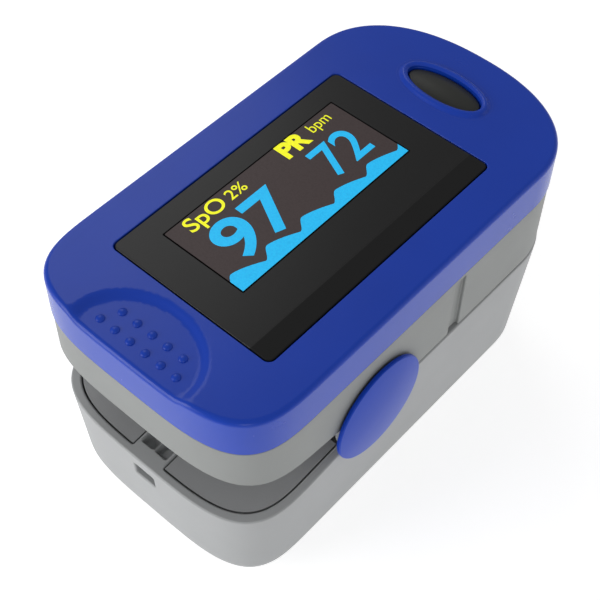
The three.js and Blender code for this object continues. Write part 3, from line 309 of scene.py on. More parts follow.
def carve(target, *cutters, operation="DIFFERENCE"):
    """Cuts the cutters out of the target, or joins them to it, and removes them."""
    for cutter in cutters:
        modifier = target.modifiers.new("cut", "BOOLEAN")
        modifier.operation = operation
        modifier.solver = "EXACT"
        modifier.object = cutter
        plain(target)
        bpy.data.objects.remove(cutter)
    return target


# ---- geometry node trees
def geometry_tree(name, inputs):
    """An empty geometry tree with named inputs, and its input and output nodes."""
    tree = bpy.data.node_groups.new(name, "GeometryNodeTree")
    for label, kind in inputs:
        tree.interface.new_socket(label, in_out="INPUT", socket_type=kind)
    tree.interface.new_socket("Finish", in_out="INPUT", socket_type="NodeSocketMaterial")
    tree.interface.new_socket("Geometry", in_out="OUTPUT", socket_type="NodeSocketGeometry")
    return tree, tree.nodes.new("NodeGroupInput").outputs, tree.nodes.new("NodeGroupOutput").inputs


def node(tree, kind, settings=(), **sockets):
    """A node whose sockets are set to values or linked to other sockets."""
    made = tree.nodes.new(kind)
    for key, value in dict(settings).items():
        setattr(made, key, value)
    for key, value in sockets.items():
        socket = made.inputs[key.replace("_", " ")]
        if isinstance(value, bpy.types.NodeSocket):
            tree.links.new(value, socket)
        else:
            socket.default_value = value
    return made


def end_tree(tree, given, result, geometry):
    """Ends a tree in plain, smooth faces with their finish."""
    real = node(tree, "GeometryNodeRealizeInstances", Geometry=geometry)
    smooth = node(tree, "GeometryNodeSetShadeSmooth", Geometry=real.outputs[0])
    coated = node(tree, "GeometryNodeSetMaterial", Geometry=smooth.outputs[0], Material=given["Finish"])
    tree.links.new(coated.outputs[0], result["Geometry"])


def grown(name, tree, finish_name, **values):
    """The plain mesh that a geometry tree makes from the values."""
    obj = bpy.data.objects.new(name, bpy.data.meshes.new(name))
    bpy.context.scene.collection.objects.link(obj)
    modifier = obj.modifiers.new(name, "NODES")
    modifier.node_group = tree
    values["Finish"] = finish_named(finish_name)
    for item in tree.interface.items_tree:
        if item.in_out == "INPUT":
            modifier[item.identifier] = values[item.name.replace(" ", "_")]
    return plain(obj)


def crisp(obj, degrees=32, dissolve=True):
    """Smooth faces that break at edges sharper than the angle."""
    drawing = bmesh.new()
    drawing.from_mesh(obj.data)
    bmesh.ops.remove_doubles(drawing, verts=drawing.verts, dist=0.002)
    bmesh.ops.dissolve_degenerate(drawing, edges=drawing.edges, dist=0.002)
    if dissolve:
        limit = math.radians(0.05)
        bmesh.ops.dissolve_limit(drawing, angle_limit=limit, verts=drawing.verts, edges=drawing.edges)
    limit = math.radians(degrees)
    for face in drawing.faces:
        face.smooth = True
    for edge in drawing.edges:
        edge.smooth = len(edge.link_faces) == 2 and edge.calc_face_angle(math.pi) < limit
    drawing.to_mesh(obj.data)
    drawing.free()


def finish(obj, body, finish_name, slot, replaces=(), edge=0.0, dissolve=True):
    """Scales a drawn piece to metres, rounds its edges and hangs it on its body."""
    crisp(obj, dissolve=dissolve)
    obj.data.transform(Matrix.Scale(MM, 4))
    obj.data.materials.clear()
    obj.data.materials.append(finish_named(finish_name))
    if edge:
        bevel = obj.modifiers.new("rounded_edges", "BEVEL")
        bevel.width = edge * MM
        bevel.segments = 2
        bevel.limit_method = "ANGLE"
        bevel.angle_limit = math.radians(35)
        bevel.use_clamp_overlap = False
        bevel.miter_outer = "MITER_ARC"
        weighted = obj.modifiers.new("even_normals", "WEIGHTED_NORMAL")
        weighted.keep_sharp = True
    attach(obj, body)
    if replaces:
        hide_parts(*replaces)
    return obj


# ---- shader node groups
def new_group(name, inputs, outputs):
    """A shader node group with named sockets, and its input and output nodes."""
    group = bpy.data.node_groups.new(name, "ShaderNodeTree")
    for socket_name, kind, value in inputs:
        socket = group.interface.new_socket(socket_name, in_out="INPUT", socket_type=kind)
        socket.default_value = value
    for socket_name, kind in outputs:
        group.interface.new_socket(socket_name, in_out="OUTPUT", socket_type=kind)
    return group, group.nodes.new("NodeGroupInput"), group.nodes.new("NodeGroupOutput")


def math_node(tree, operation, first, second, clamp=False):
    made = node(tree, "ShaderNodeMath", {"operation": operation, "use_clamp": clamp})
    for socket, value in zip(made.inputs, (first, second)):
        if isinstance(value, (int, float)):
            socket.default_value = value
        else:
            tree.links.new(value, socket)
    return made.outputs[0]


def noise_node(tree, vector, scale, detail=3.0, roughness=0.5):
    noise = node(tree, "ShaderNodeTexNoise", Vector=vector, Scale=scale, Detail=detail, Roughness=roughness)
    return noise.outputs["Fac"]


def object_place(tree):
    return tree.nodes.new("ShaderNodeTexCoord").outputs["Object"]


def grain_group():
    """Fine moulded texture: a height that the bump node reads."""
    group, given, result = new_group(
        "mould_grain", [("Scale", "NodeSocketFloat", 3000.0)], [("Height", "NodeSocketFloat")]
    )
    place = object_place(group)
    fine = noise_node(group, place, given.outputs["Scale"], 2.0)
    coarse = noise_node(group, place, math_node(group, "MULTIPLY", given.outputs["Scale"], 0.11), 2.0)
    height = math_node(group, "ADD", math_node(group, "MULTIPLY", coarse, 0.6), fine)
    group.links.new(height, result.inputs["Height"])
    return group


def tone_group():
    """Slow drift of tone over a moulding, with lighter rubbed edges."""
    group, given, result = new_group(
        "tone_drift",
        [("Color", "NodeSocketColor", (0.5, 0.5, 0.5, 1)), ("Drift", "NodeSocketFloat", 0.06),
         ("Wear", "NodeSocketFloat", 0.3)],
        [("Color", "NodeSocketColor"), ("Worn", "NodeSocketFloat")],
    )
    place = object_place(group)
    drift = noise_node(group, place, 90.0, 3.0)
    centred = math_node(group, "SUBTRACT", drift, 0.5)
    value = math_node(group, "MULTIPLY", centred, given.outputs["Drift"])
    value = math_node(group, "ADD", math_node(group, "MULTIPLY", value, 4.0), 1.0)
    brightness = node(group, "ShaderNodeHueSaturation", Value=value, Color=given.outputs["Color"])
    geometry = node(group, "ShaderNodeNewGeometry")
    rounded = node(group, "ShaderNodeBevel", {"samples": 4}, Radius=0.00025)
    turned = node(group, "ShaderNodeVectorMath", {"operation": "DOT_PRODUCT"})
    group.links.new(rounded.outputs["Normal"], turned.inputs[0])
    group.links.new(geometry.outputs["Normal"], turned.inputs[1])
    edge = node(group, "ShaderNodeMapRange", From_Min=0.99, From_Max=0.8, Value=turned.outputs["Value"])
    patches = noise_node(group, place, 700.0, 4.0)
    worn = math_node(group, "MULTIPLY", math_node(group, "MULTIPLY", edge.outputs["Result"], patches),
                     given.outputs["Wear"], clamp=True)
    lighter = node(group, "ShaderNodeMix", {"data_type": "RGBA"}, Factor=worn, A=brightness.outputs["Color"],
                   B=(0.75, 0.76, 0.78, 1))
    group.links.new(lighter.outputs["Result"], result.inputs["Color"])
    group.links.new(worn, result.inputs["Worn"])
    return group


def gloss_group():
    """Roughness that varies a little, with smudges."""
    group, given, result = new_group(
        "satin_gloss",
        [("Roughness", "NodeSocketFloat", 0.4), ("Spread", "NodeSocketFloat", 0.1)],
        [("Roughness", "NodeSocketFloat")],
    )
    place = object_place(group)
    smudge = noise_node(group, place, 160.0, 5.0, 0.6)
    change = math_node(group, "MULTIPLY", math_node(group, "SUBTRACT", smudge, 0.5), given.outputs["Spread"])
    group.links.new(math_node(group, "ADD", given.outputs["Roughness"], change, clamp=True),
                    result.inputs["Roughness"])
    return group


def place_group(tree, name, builder, **values):
    """A node of the shared group of this name, which is built the first time it is asked for."""
    group = bpy.data.node_groups.get(name) or builder()
    return node(tree, "ShaderNodeGroup", {"node_tree": group}, **values)


def moulded(name, colour, roughness, grain=3000.0, depth=0.000004, drift=0.05, wear=0.25, spread=0.1,
            specular=0.5, metallic=0.0):
    """A moulded or drawn surface: drift of tone, worn edges, uneven gloss and fine grain."""
    material = bpy.data.materials.new(name)
    material.use_nodes = True
    tree = material.node_tree
    shader = tree.nodes["Principled BSDF"]
    tone = place_group(tree, "tone_drift", tone_group, Color=(*colour, 1), Drift=drift, Wear=wear)
    gloss = place_group(tree, "satin_gloss", gloss_group, Roughness=roughness, Spread=spread)
    texture = place_group(tree, "mould_grain", grain_group, Scale=grain)
    tree.links.new(tone.outputs["Color"], shader.inputs["Base Color"])
    tree.links.new(gloss.outputs["Roughness"], shader.inputs["Roughness"])
    bump = node(tree, "ShaderNodeBump", Distance=depth, Strength=1.0, Height=texture.outputs["Height"])
    tree.links.new(bump.outputs["Normal"], shader.inputs["Normal"])
    shader.inputs["Specular IOR Level"].default_value = specular
    shader.inputs["Metallic"].default_value = metallic
    return material


def clear_lens():
    material = moulded("clear_lens", (0.85, 0.92, 0.95), 0.08, depth=0.0000005, wear=0.0)
    material.node_tree.nodes["Principled BSDF"].inputs["Transmission Weight"].default_value = 0.85
    return material


WINDOW_BAND = 2.6


def window_print():
    """Black-printed acrylic: a darker printed band along its right edge."""
    material = moulded("window_print", settings().finish.window_black, 0.26, grain=2500.0,
                       depth=0.0000003, drift=0.03, wear=0.05, spread=0.05, specular=0.25)
    tree = material.node_tree
    shader = tree.nodes["Principled BSDF"]
    place = node(tree, "ShaderNodeSeparateXYZ", Vector=object_place(tree))
    band_edge = WINDOW_LOW.y + WINDOW_BAND
    band = node(tree, "ShaderNodeMapRange", From_Min=band_edge * MM, From_Max=(band_edge - 0.1) * MM,
                Value=place.outputs["Y"])
    ink = node(tree, "ShaderNodeMix", {"data_type": "RGBA"}, B=(0.0035, 0.0035, 0.0035, 1),
               Factor=band.outputs["Result"], A=shader.inputs["Base Color"].links[0].from_socket)
    tree.links.new(ink.outputs["Result"], shader.inputs["Base Color"])
    duller = math_node(tree, "MULTIPLY", band.outputs["Result"], 0.35)
    gloss = shader.inputs["Roughness"].links[0].from_socket
    tree.links.new(math_node(tree, "ADD", gloss, duller), shader.inputs["Roughness"])
    return material


def lit(name, colour, strength):
    """A part of the picture that gives its own light, with the dots of the panel."""
    material = bpy.data.materials.new(name)
    material.use_nodes = True
    tree = material.node_tree
    shader = tree.nodes["Principled BSDF"]
    dots = node(tree, "ShaderNodeTexVoronoi", Scale=5200.0, Vector=object_place(tree))
    dim = node(tree, "ShaderNodeMix", {"data_type": "RGBA"}, A=(*colour, 1), B=(*(0.82 * c for c in colour), 1),
               Factor=dots.outputs["Distance"])
    tree.links.new(dim.outputs["Result"], shader.inputs["Base Color"])
    tree.links.new(dim.outputs["Result"], shader.inputs["Emission Color"])
    shader.inputs["Emission Strength"].default_value = strength
    shader.inputs["Roughness"].default_value = 0.3
    shader.inputs["Specular IOR Level"].default_value = 0.15
    return material


# Moulded and drawn finishes: a colour, or the name of one in the settings, a roughness, and what differs.
GLOSSY = {"grain": 5200.0, "depth": 0.0000009, "wear": 0.04, "spread": 0.08}
MOULDED = {
    "blue_plastic": ("blue", 0.26, {**GLOSSY, "specular": 0.3}),
    "cap_plastic": ("blue", 0.3, {**GLOSSY, "specular": 0.12}),
    "upper_grey_plastic": ("upper_grey", 0.5, {"wear": 0.12}),
    "lower_grey_plastic": ("lower_grey", 0.5, {"wear": 0.12}),
    "inner_grey_plastic": ("inner_grey", 0.55, {"wear": 0.15}),
    "button_plastic": ("button_black", 0.45, {"wear": 0.2, "specular": 0.3}),
    "silicone": ((0.022, 0.023, 0.026), 0.62, {"grain": 2200.0, "depth": 0.000006, "wear": 0.0}),
    "white_plastic": ((0.74, 0.73, 0.68), 0.5, {}),
    "circuit_board": ((0.012, 0.10, 0.035), 0.35, {"grain": 1800.0, "depth": 0.00001}),
    "chip_black": ((0.014, 0.014, 0.016), 0.5, {"grain": 6000.0}),
    "polyimide": ((0.42, 0.16, 0.02), 0.3, {"grain": 1500.0}),
    "plated_steel": ((0.62, 0.63, 0.64), 0.25, {"metallic": 1.0, "wear": 0.0}),
    "spring_steel": ((0.5, 0.51, 0.53), 0.3, {"metallic": 1.0, "wear": 0.0}),
    "screw_steel": ((0.05, 0.05, 0.055), 0.35, {"metallic": 0.9, "wear": 0.4}),
    "cell_wrap": ((0.5, 0.27, 0.04), 0.3, {"metallic": 0.6, "wear": 0.1}),
    "screen_edge": ((0.002, 0.002, 0.002), 0.5, {"wear": 0.0, "specular": 0.0}),
}
# Lit parts of the picture: the name of a colour in the settings, and the strength of its light.
LIT = {"lit_figures": ("figures", 0.5), "lit_labels": ("labels", 0.55), "screen_glass": ("screen", 0.25)}
OTHERS = {"clear_lens": clear_lens, "window_print": window_print}


def new_finish(name):
    if name in OTHERS:
        return OTHERS[name]()
    colour, value, *rest = MOULDED.get(name) or LIT[name]
    if isinstance(colour, str):
        colour = getattr(settings().finish, colour)
    return moulded(name, colour, value, **rest[0]) if rest else lit(name, colour, value)


def finish_named(name):
    """The finish of this name, made the first time it is asked for."""
    label = f"{name}_finish"
    material = bpy.data.materials.get(label)
    if not material:
        material = new_finish(name)
        material.name = label
    return material


# ---- shells
def smooth_step(low, high, value):
    share = min(max((value - low) / (high - low), 0.0), 1.0)
    return share * share * (3 - 2 * share)


SCOOP_SETBACK = 1.5
SCOOP_WALL_START = 0.84


def scoop_depth(x, y):
    """How far the thumb scoop lies under the lid's face."""
    reach = math.hypot((x - SQUEEZE_X - SCOOP_SETBACK) / housing("scoop_length"), y / housing("scoop_width"))
    return housing("scoop_depth") * (1 - smooth_step(SCOOP_WALL_START, 1.0, reach))


def lid_body():
    """The lid before its openings are cut: rounded top edge and thumb scoop."""
    radius = housing("edge_radius")
    levels = [(0.0, LID_BASE_Z), (0.0, LID_BASE_Z + 2)]
    for step in range(9):
        angle = math.radians(90 * step / 8)
        levels.append((radius * (1 - math.cos(angle)), TOP_Z - radius * (1 - math.sin(angle))))
    loops = [flat(plan_ring(inset), z) for inset, z in levels]
    count = len(loops[0])
    points = [p for loop in loops for p in loop]
    faces = sides_of(count, len(loops))
    faces.append(tuple(range(count))[::-1])

    rim = [Vector((x, y)) for x, y, _ in loops[-1]]
    spacing = 0.3
    reach_x = int(14 / spacing)
    reach_y = int(11 / spacing)
    inner = [
        Vector((SQUEEZE_X + radius + 0.4 + i * spacing, (j + 0.5 * (i % 2)) * spacing))
        for i in range(reach_x) for j in range(-reach_y, reach_y)
    ]
    coarse = 2.5
    inner += [
        Vector((SQUEEZE_X + 16 + i * coarse, j * coarse)) for i in range(16) for j in range(-5, 6)
    ]
    edges = [(i, (i + 1) % count) for i in range(count)]
    corner_room = 0.3
    squeeze_depth = housing("squeeze_end_depth")
    inner = [p for p in inner if inside_plan(p, radius + corner_room, squeeze_depth)]
    top, _, triangles, *_ = delaunay_2d_cdt(rim + inner, edges, [], 1, 1e-4)
    start = len(points)
    points += [(p.x, p.y, TOP_Z) for p in top]
    faces += [tuple(start + i for i in triangle) for triangle in triangles]

    sunk = []
    for x, y, z in points:
        share = smooth_step(TOP_Z - 3.2, TOP_Z - 0.3, z)
        sunk.append((x, y, z - share * scoop_depth(x, y)))
    return make("top_cover_skin", sunk, faces)


def inside_plan(point, inset, squeeze_depth):
    """True if the point lies inside the plan outline set in by inset."""
    half_width = HALF_WIDTH - inset
    from_squeeze = (point.x - SQUEEZE_X - inset) / squeeze_depth
    from_finger = (FINGER_X - inset - point.x) / housing("finger_end_depth")
    if from_squeeze <= 0 or from_finger <= 0:
        return False
    limit = half_width
    if from_squeeze < 1:
        power = settings().housing.squeeze_end_power
        limit = min(limit, half_width * (1 - (1 - from_squeeze) ** power) ** (1 / power))
    if from_finger < 1:
        power = settings().housing.finger_end_power
        limit = min(limit, half_width * (1 - (1 - from_finger) ** power) ** (1 / power))
    return abs(point.y) < limit


ROOF = 1.6
WINDOW_CORNER = 0.7
BUTTON_FLANGE = 0.7
BEAD_HALF_X = 1.95
BEAD_HALF_Y = 4.84


def button_oval(grow):
    half_x = (BUTTON_HIGH.x - BUTTON_LOW.x) / 2 - BUTTON_FLANGE
    half_y = BUTTON_HIGH.y - BUTTON_FLANGE
    return oval(BUTTON_X, 0.0, half_x + grow, half_y + grow)


def window_plate(name, grow, z0, z1):
    outline = rounded_rectangle(WINDOW_LOW.x - grow, WINDOW_HIGH.x + grow, WINDOW_LOW.y - grow,
                                WINDOW_HIGH.y + grow, max(WINDOW_CORNER + grow, 0.2))
    return stack(name, [flat(outline, z0), flat(outline, z1)])


class OXIMETER_OT_top_cover(bpy.types.Operator):
    """Build the blue lid with its thumb scoop, window pocket, button hole and the bead round the button"""

    bl_idname = "oximeter.top_cover"
    bl_label = "Top Cover"

    def execute(self, context):
        wall = housing("wall")
        ledge = 1.0
        inner = plan_ring(wall)
        lid = carve(
            lid_body(),
            stack("room", [flat(inner, LID_BASE_Z - 1), flat(inner, TOP_Z - ROOF)]),
            window_plate("pocket", FIT, WINDOW_LOW.z - FIT, TOP_Z + 1),
            window_plate("aperture", -ledge, TOP_Z - ROOF - 1, TOP_Z),
            stack("hole", [flat(button_oval(0.2), TOP_Z - ROOF - 1), flat(button_oval(0.2), TOP_Z + 1)]),
        )
        lid.name = "top_cover_skin"
        finish(lid, UPPER_BODY, "blue_plastic", "blue_plastic", ("top_cover",), edge=0.1)

        bead_start = 0.2
        bead_width = 1.3
        bead_height = 0.4
        bead_root = 0.25
        inner_oval = button_oval(0.0)
        sections = []
        for x, y in inner_oval:
            out = Vector(((x - BUTTON_X) / BEAD_HALF_X ** 2, y / BEAD_HALF_Y ** 2)).normalized()
            section = []
            for step in range(13):
                share = step / 12
                rise = bead_height * math.sin(math.pi * min(share * 1.25 + 0.12, 1.0)) ** 0.8
                offset = bead_start + bead_width * share
                section.append((x + out.x * offset, y + out.y * offset, TOP_Z + max(rise, 0.0) + 0.004))
            for offset in (bead_start + bead_width, bead_start):
                section.append((x + out.x * offset, y + out.y * offset, TOP_Z - bead_root))
            sections.append(section)
        finish(hoop("button_bead", sections), UPPER_BODY, "blue_plastic", "blue_plastic")
        return {"FINISHED"}


def bump_rows_tree():
    """Rows of low domes side by side across the lid."""
    rows = (("Far Setback", "Far Count"), ("Near Setback", "Near Count"))
    inputs = [(label, "NodeSocketFloat") for label in ("Squeeze X", "Floor Z", "Pitch", "Radius", "Height")]
    for setback, count in rows:
        inputs += [(setback, "NodeSocketFloat"), (count, "NodeSocketInt")]
    tree, given, result = geometry_tree("grip_bump_rows", inputs)
    step = node(tree, "ShaderNodeCombineXYZ", Y=given["Pitch"])
    size = node(tree, "ShaderNodeCombineXYZ", X=given["Radius"], Y=given["Radius"], Z=given["Height"])
    dome = node(tree, "GeometryNodeMeshUVSphere", Segments=24, Rings=14, Radius=1.0)
    both = node(tree, "GeometryNodeJoinGeometry")
    for setback, count in rows:
        gaps = math_node(tree, "SUBTRACT", given[count], 1.0)
        half = math_node(tree, "MULTIPLY", math_node(tree, "MULTIPLY", gaps, given["Pitch"]), -0.5)
        place = math_node(tree, "ADD", given["Squeeze X"], given[setback])
        start = node(tree, "ShaderNodeCombineXYZ", X=place, Y=half, Z=given["Floor Z"])
        line = node(tree, "GeometryNodeMeshLine", Count=given[count], Start_Location=start.outputs[0],
                    Offset=step.outputs[0])
        domes = node(tree, "GeometryNodeInstanceOnPoints", Points=line.outputs[0], Instance=dome.outputs[0],
                     Scale=size.outputs[0])
        tree.links.new(domes.outputs[0], both.inputs[0])
    end_tree(tree, given, result, both.outputs[0])
    return tree


class OXIMETER_OT_grip_bumps(bpy.types.Operator):
    """Build the two rows of grip bumps in the thumb scoop"""

    bl_idname = "oximeter.grip_bumps"
    bl_label = "Grip Bumps"

    def execute(self, context):
        bumps = grown(
            "grip_bumps", bump_rows_tree(), "blue_plastic", Squeeze_X=SQUEEZE_X,
            Floor_Z=TOP_Z - housing("scoop_depth") - 0.02, Pitch=2.1, Radius=0.5, Height=0.3,
            Far_Setback=4.1, Far_Count=5, Near_Setback=2.1, Near_Count=6,
        )
        finish(bumps, UPPER_BODY, "blue_plastic", "blue_plastic")
        return {"FINISHED"}


class OXIMETER_OT_window(bpy.types.Operator):
    """Build the black window"""

    bl_idname = "oximeter.window"
    bl_label = "Window"

    def execute(self, context):
        window = window_plate("display_window_skin", 0.0, WINDOW_LOW.z, TOP_Z)
        finish(window, UPPER_BODY, "window_print", "black_window", ("display_window",), edge=0.12)
        return {"FINISHED"}


PICTURE_SKIN = 0.02


def picture_place():
    """Lower left corner of the lit picture in millimetres."""
    return WINDOW_LOW.x + display("start"), WINDOW_LOW.y + display("side")


def slab(name, outline, level, thick=PICTURE_SKIN):
    z = TOP_Z + level
    return stack(name, [flat(outline, z), flat(outline, z + thick)])


def writing(name, text, x, y, height, widen=1.0, heavy=0.0):
    """Flat figures on the picture, with their lower left corner at x and y from the picture's corner."""
    curve = bpy.data.curves.new(name, "FONT")
    curve.body = text
    curve.size = 1.0
    curve.extrude = 0.01
    curve.offset = heavy
    obj = bpy.data.objects.new(name, curve)
    bpy.context.scene.collection.objects.link(obj)
    bpy.context.view_layer.update()
    graph = bpy.context.evaluated_depsgraph_get()
    mesh = bpy.data.meshes.new_from_object(obj.evaluated_get(graph), depsgraph=graph)
    bpy.data.objects.remove(obj)
    low = Vector(min(v.co[i] for v in mesh.vertices) for i in range(3))
    high = Vector(max(v.co[i] for v in mesh.vertices) for i in range(3))
    scale = height / (high.y - low.y)
    left, bottom = picture_place()
    for vertex in mesh.vertices:
        flat_x = (vertex.co.x - low.x) * scale * widen
        flat_y = (vertex.co.y - low.y) * scale
        lift = PICTURE_SKIN * (1.0 if vertex.co.z < 0 else 2.0)
        vertex.co = (left + x + flat_x, bottom + y + flat_y, TOP_Z + lift)
    shown = bpy.data.objects.new(name, mesh)
    bpy.context.scene.collection.objects.link(shown)
    return shown


def wave_height(share):
    """Height of the pulse wave in millimetres: a steep rise and a slow fall in each beat."""
    phase = (share * settings().display.beats + 0.16) % 1.0
    rise = 0.3
    beat = smooth_step(0.0, rise, phase) if phase < rise else 1 - ((phase - rise) / (1 - rise)) ** 1.5
    return 0.95 + (1.45 - 0.45 * share) * beat


def wave_outline():
    left, bottom = picture_place()
    width = display("width")
    steps = 160
    top = [
        (left + width * i / steps, bottom + wave_height(i / steps)) for i in range(steps + 1)
    ]
    return [(left, bottom), (left + width, bottom)] + top[::-1]


class OXIMETER_OT_picture(bpy.types.Operator):
    """Build the lit picture: its ground, the wave, the figures and their labels"""

    bl_idname = "oximeter.picture"
    bl_label = "Lit Picture"

    def execute(self, context):
        left, bottom = picture_place()
        width, height = display("width"), display("height")
        line = 0.17

        def sheet_of(grow):
            return rounded_rectangle(left - grow, left + width + grow, bottom - grow, bottom + height + grow,
                                     0.1, steps=2)

        slot_name = "display_glass"
        finish(slab("screen_outline", sheet_of(line), -0.01), UPPER_BODY, "screen_edge", slot_name)
        finish(slab("screen_ground", sheet_of(0.0), 0.0), UPPER_BODY, "screen_glass", slot_name)
        figures = [
            slab("pulse_wave", wave_outline(), PICTURE_SKIN),
            writing("oxygen_figures", str(settings().display.oxygen), 2.5, 2.35, 5.9, widen=1.22, heavy=0.02),
            writing("pulse_figures", str(settings().display.pulse), 18.1, 3.0, 4.85, widen=1.0, heavy=0.01),
        ]
        labels = [
            writing("oxygen_label", "SpO", 2.1, 8.35, 2.6, widen=1.12, heavy=0.01),
            writing("oxygen_unit", "2%", 8.1, 9.15, 1.45, widen=1.1, heavy=0.004),
            writing("pulse_label", "PR", 16.6, 8.7, 2.4, widen=1.08, heavy=0.045),
            writing("pulse_unit", "bpm", 21.4, 8.95, 1.85, widen=0.92, heavy=-0.006),
        ]
        for obj in figures:
            finish(obj, UPPER_BODY, "lit_figures", slot_name)
        for obj in labels:
            finish(obj, UPPER_BODY, "lit_labels", slot_name)
        return {"FINISHED"}


class OXIMETER_OT_power_button(bpy.types.Operator):
    """Build the oval power button with its low dome"""

    bl_idname = "oximeter.power_button"
    bl_label = "Power Button"

    def execute(self, context):
        half_x = (BUTTON_HIGH.x - BUTTON_LOW.x) / 2 - BUTTON_FLANGE
        half_y = BUTTON_HIGH.y - BUTTON_FLANGE
        flange = 0.5
        rim = 0.16
        dome = BUTTON_HIGH.z - TOP_Z + 0.18
        shoulder = BUTTON_HIGH.z - dome
        levels = [
            (BUTTON_FLANGE, BUTTON_LOW.z), (BUTTON_FLANGE, BUTTON_LOW.z + flange),
            (0.0, BUTTON_LOW.z + flange), (0.0, shoulder - rim),
        ]
        loops = [flat(oval(BUTTON_X, 0, half_x + grow, half_y + grow), z) for grow, z in levels]
        for step in range(1, 5):
            angle = math.radians(90 * step / 4)
            inset = rim * (1 - math.cos(angle))
            loops.append(flat(oval(BUTTON_X, 0, half_x - inset, half_y - inset),
                              shoulder - rim * (1 - math.sin(angle))))
        for step in range(1, 12):
            share = 1 - step / 12
            grow_x, grow_y = (half_x - rim) * share, (half_y - rim) * share
            loops.append(flat(oval(BUTTON_X, 0, grow_x, grow_y), shoulder + dome * (1 - share * share)))
        loops.append([(BUTTON_X, 0, BUTTON_HIGH.z)] * len(loops[0]))
        finish(stack("power_button_skin", loops), "power_button", "button_plastic", "black_button",
               ("power_button",))
        return {"FINISHED"}


def under_profile(front_z, hinge_z, finger_z, low):
    """Side profile of what is cut away beside the squeeze gap and the parting line."""
    slope = (front_z - hinge_z) / (HINGE_X - SQUEEZE_X)
    far = 5
    end = TOP_Z if not low else -far
    return [
        (SQUEEZE_X - far, front_z + far * slope), (HINGE_X, hinge_z), (HINGE_X, finger_z),
        (FINGER_X + far, finger_z), (FINGER_X + far, end), (SQUEEZE_X - far, end),
    ]


def side_bar(name, y0, y1, radius):
    """A round bar across the body on the hinge axis."""
    circle = oval(HINGE_X, HINGE_Z, radius, radius)
    return stack(name, [across(circle, y0), across(circle, y1)])


def mouth(name, z_rise, half_width, x0):
    """An oval bar along the finger channel, out through the finger end."""
    outline = oval(0.0, CHANNEL_Z, half_width, z_rise)
    return stack(name, [along(outline, x0), along(outline, FINGER_X + 5)])


GROOVE_PAST_HINGE = 13.65
GROOVE_WIDTH = 1.9
GROOVE_DEPTH = 0.45
FRAME_ROOM = 1.4
MOUTH_PAST_HINGE = 4.8


class OXIMETER_OT_upper_shell(bpy.types.Operator):
    """Build the light grey upper shell with its side grooves and the mouth of the channel"""

    bl_idname = "oximeter.upper_shell"
    bl_label = "Upper Shell"

    def execute(self, context):
        wall = housing("wall")
        inset = HALF_WIDTH - UPPER_HIGH.y
        outer = plan_ring(inset)
        shell = stack("upper_shell_skin", [flat(outer, PARTING_Z - 6), flat(outer, LID_BASE_Z - FIT)])
        inner = plan_ring(inset + wall)
        edge = PARTING_Z + SEAM / 2
        profile = under_profile(PARTING_Z + housing("upper_edge_rise"),
                                PARTING_Z + housing("upper_edge_hinge_rise"), edge, low=True)
        mouth_half = PAD_HIGH.y + FRAME_ROOM
        cutters = [
            stack("room", [flat(inner, PARTING_Z - 7), flat(inner, TOP_Z)]),
            stack("under", [across(profile, -HALF_WIDTH - 3), across(profile, HALF_WIDTH + 3)]),
            mouth("mouth", PAD_HIGH.z - CHANNEL_Z + FRAME_ROOM, mouth_half, HINGE_X + MOUTH_PAST_HINGE),
        ]
        groove_x = HINGE_X + GROOVE_PAST_HINGE
        for side in (-1, 1):
            outer_y = side * (HALF_WIDTH + 2)
            cutters.append(side_bar("ear", side * (HALF_WIDTH - 4), outer_y, housing("ear_radius") + 0.3))
            face = side * (HALF_WIDTH - inset - GROOVE_DEPTH)
            cutters.append(block("groove", groove_x - GROOVE_WIDTH / 2, groove_x + GROOVE_WIDTH / 2,
                                 min(face, outer_y), max(face, outer_y), PARTING_Z - 1, LID_BASE_Z - 0.75))
        carve(shell, *cutters)
        tongue_outer = plan_ring(wall + FIT)
        tongue_inner = plan_ring(wall + FIT + 0.8)
        tongue = carve(
            stack("tongue", [flat(tongue_outer, LID_BASE_Z - LID_TONGUE),
                             flat(tongue_outer, LID_BASE_Z + LID_TONGUE)]),
            stack("room", [flat(tongue_inner, LID_BASE_Z - 3), flat(tongue_inner, TOP_Z)]),
        )
        join(shell, tongue)
        finish(shell, UPPER_BODY, "upper_grey_plastic", "light_grey_plastic", ("upper_shell",), edge=0.12)
        return {"FINISHED"}


def lower_loops(extra, floor_z, top_z):
    """Loops of the lower shell: a drafted wall on a rounded base, set in by extra."""
    radius = max(housing("base_fillet") - extra, 0.5)
    foot = floor_z + radius
    taper_top = PARTING_Z - 2.5
    fillet = housing("base_fillet")

    def loop(z, more):
        taper = min(max((taper_top - z) / (taper_top - fillet), 0), 1)
        drawn = housing("draft") * min(max((PARTING_Z - z) / (PARTING_Z - fillet), 0), 1)
        return flat(plan_ring(extra + drawn + more, housing("end_taper") * taper), z)

    loops = []
    for step in range(9):
        angle = math.radians(90 - 90 * step / 9)
        loops.append(loop(foot - radius * math.sin(angle), radius * (1 - math.cos(angle))))
    loops += [loop(foot, 0), loop(taper_top, 0), loop(PARTING_Z, 0)]
    if top_z > PARTING_Z:
        loops.append(loop(top_z, 0))
    return loops


def slanted_bar(name, front_z, hinge_z, finger_z):
    profile = under_profile(front_z, hinge_z, finger_z, low=False)
    return stack(name, [across(profile, -HALF_WIDTH - 3), across(profile, HALF_WIDTH + 3)])


LANYARD_HALF_WIDTH = 1.5
LANYARD_HEIGHT = 2.16
LANYARD_DROP = 1.8
TAB_HALF_WIDTH = 2.3
TAB_DEPTH = 1.25
TAB_LENGTH = 3.6


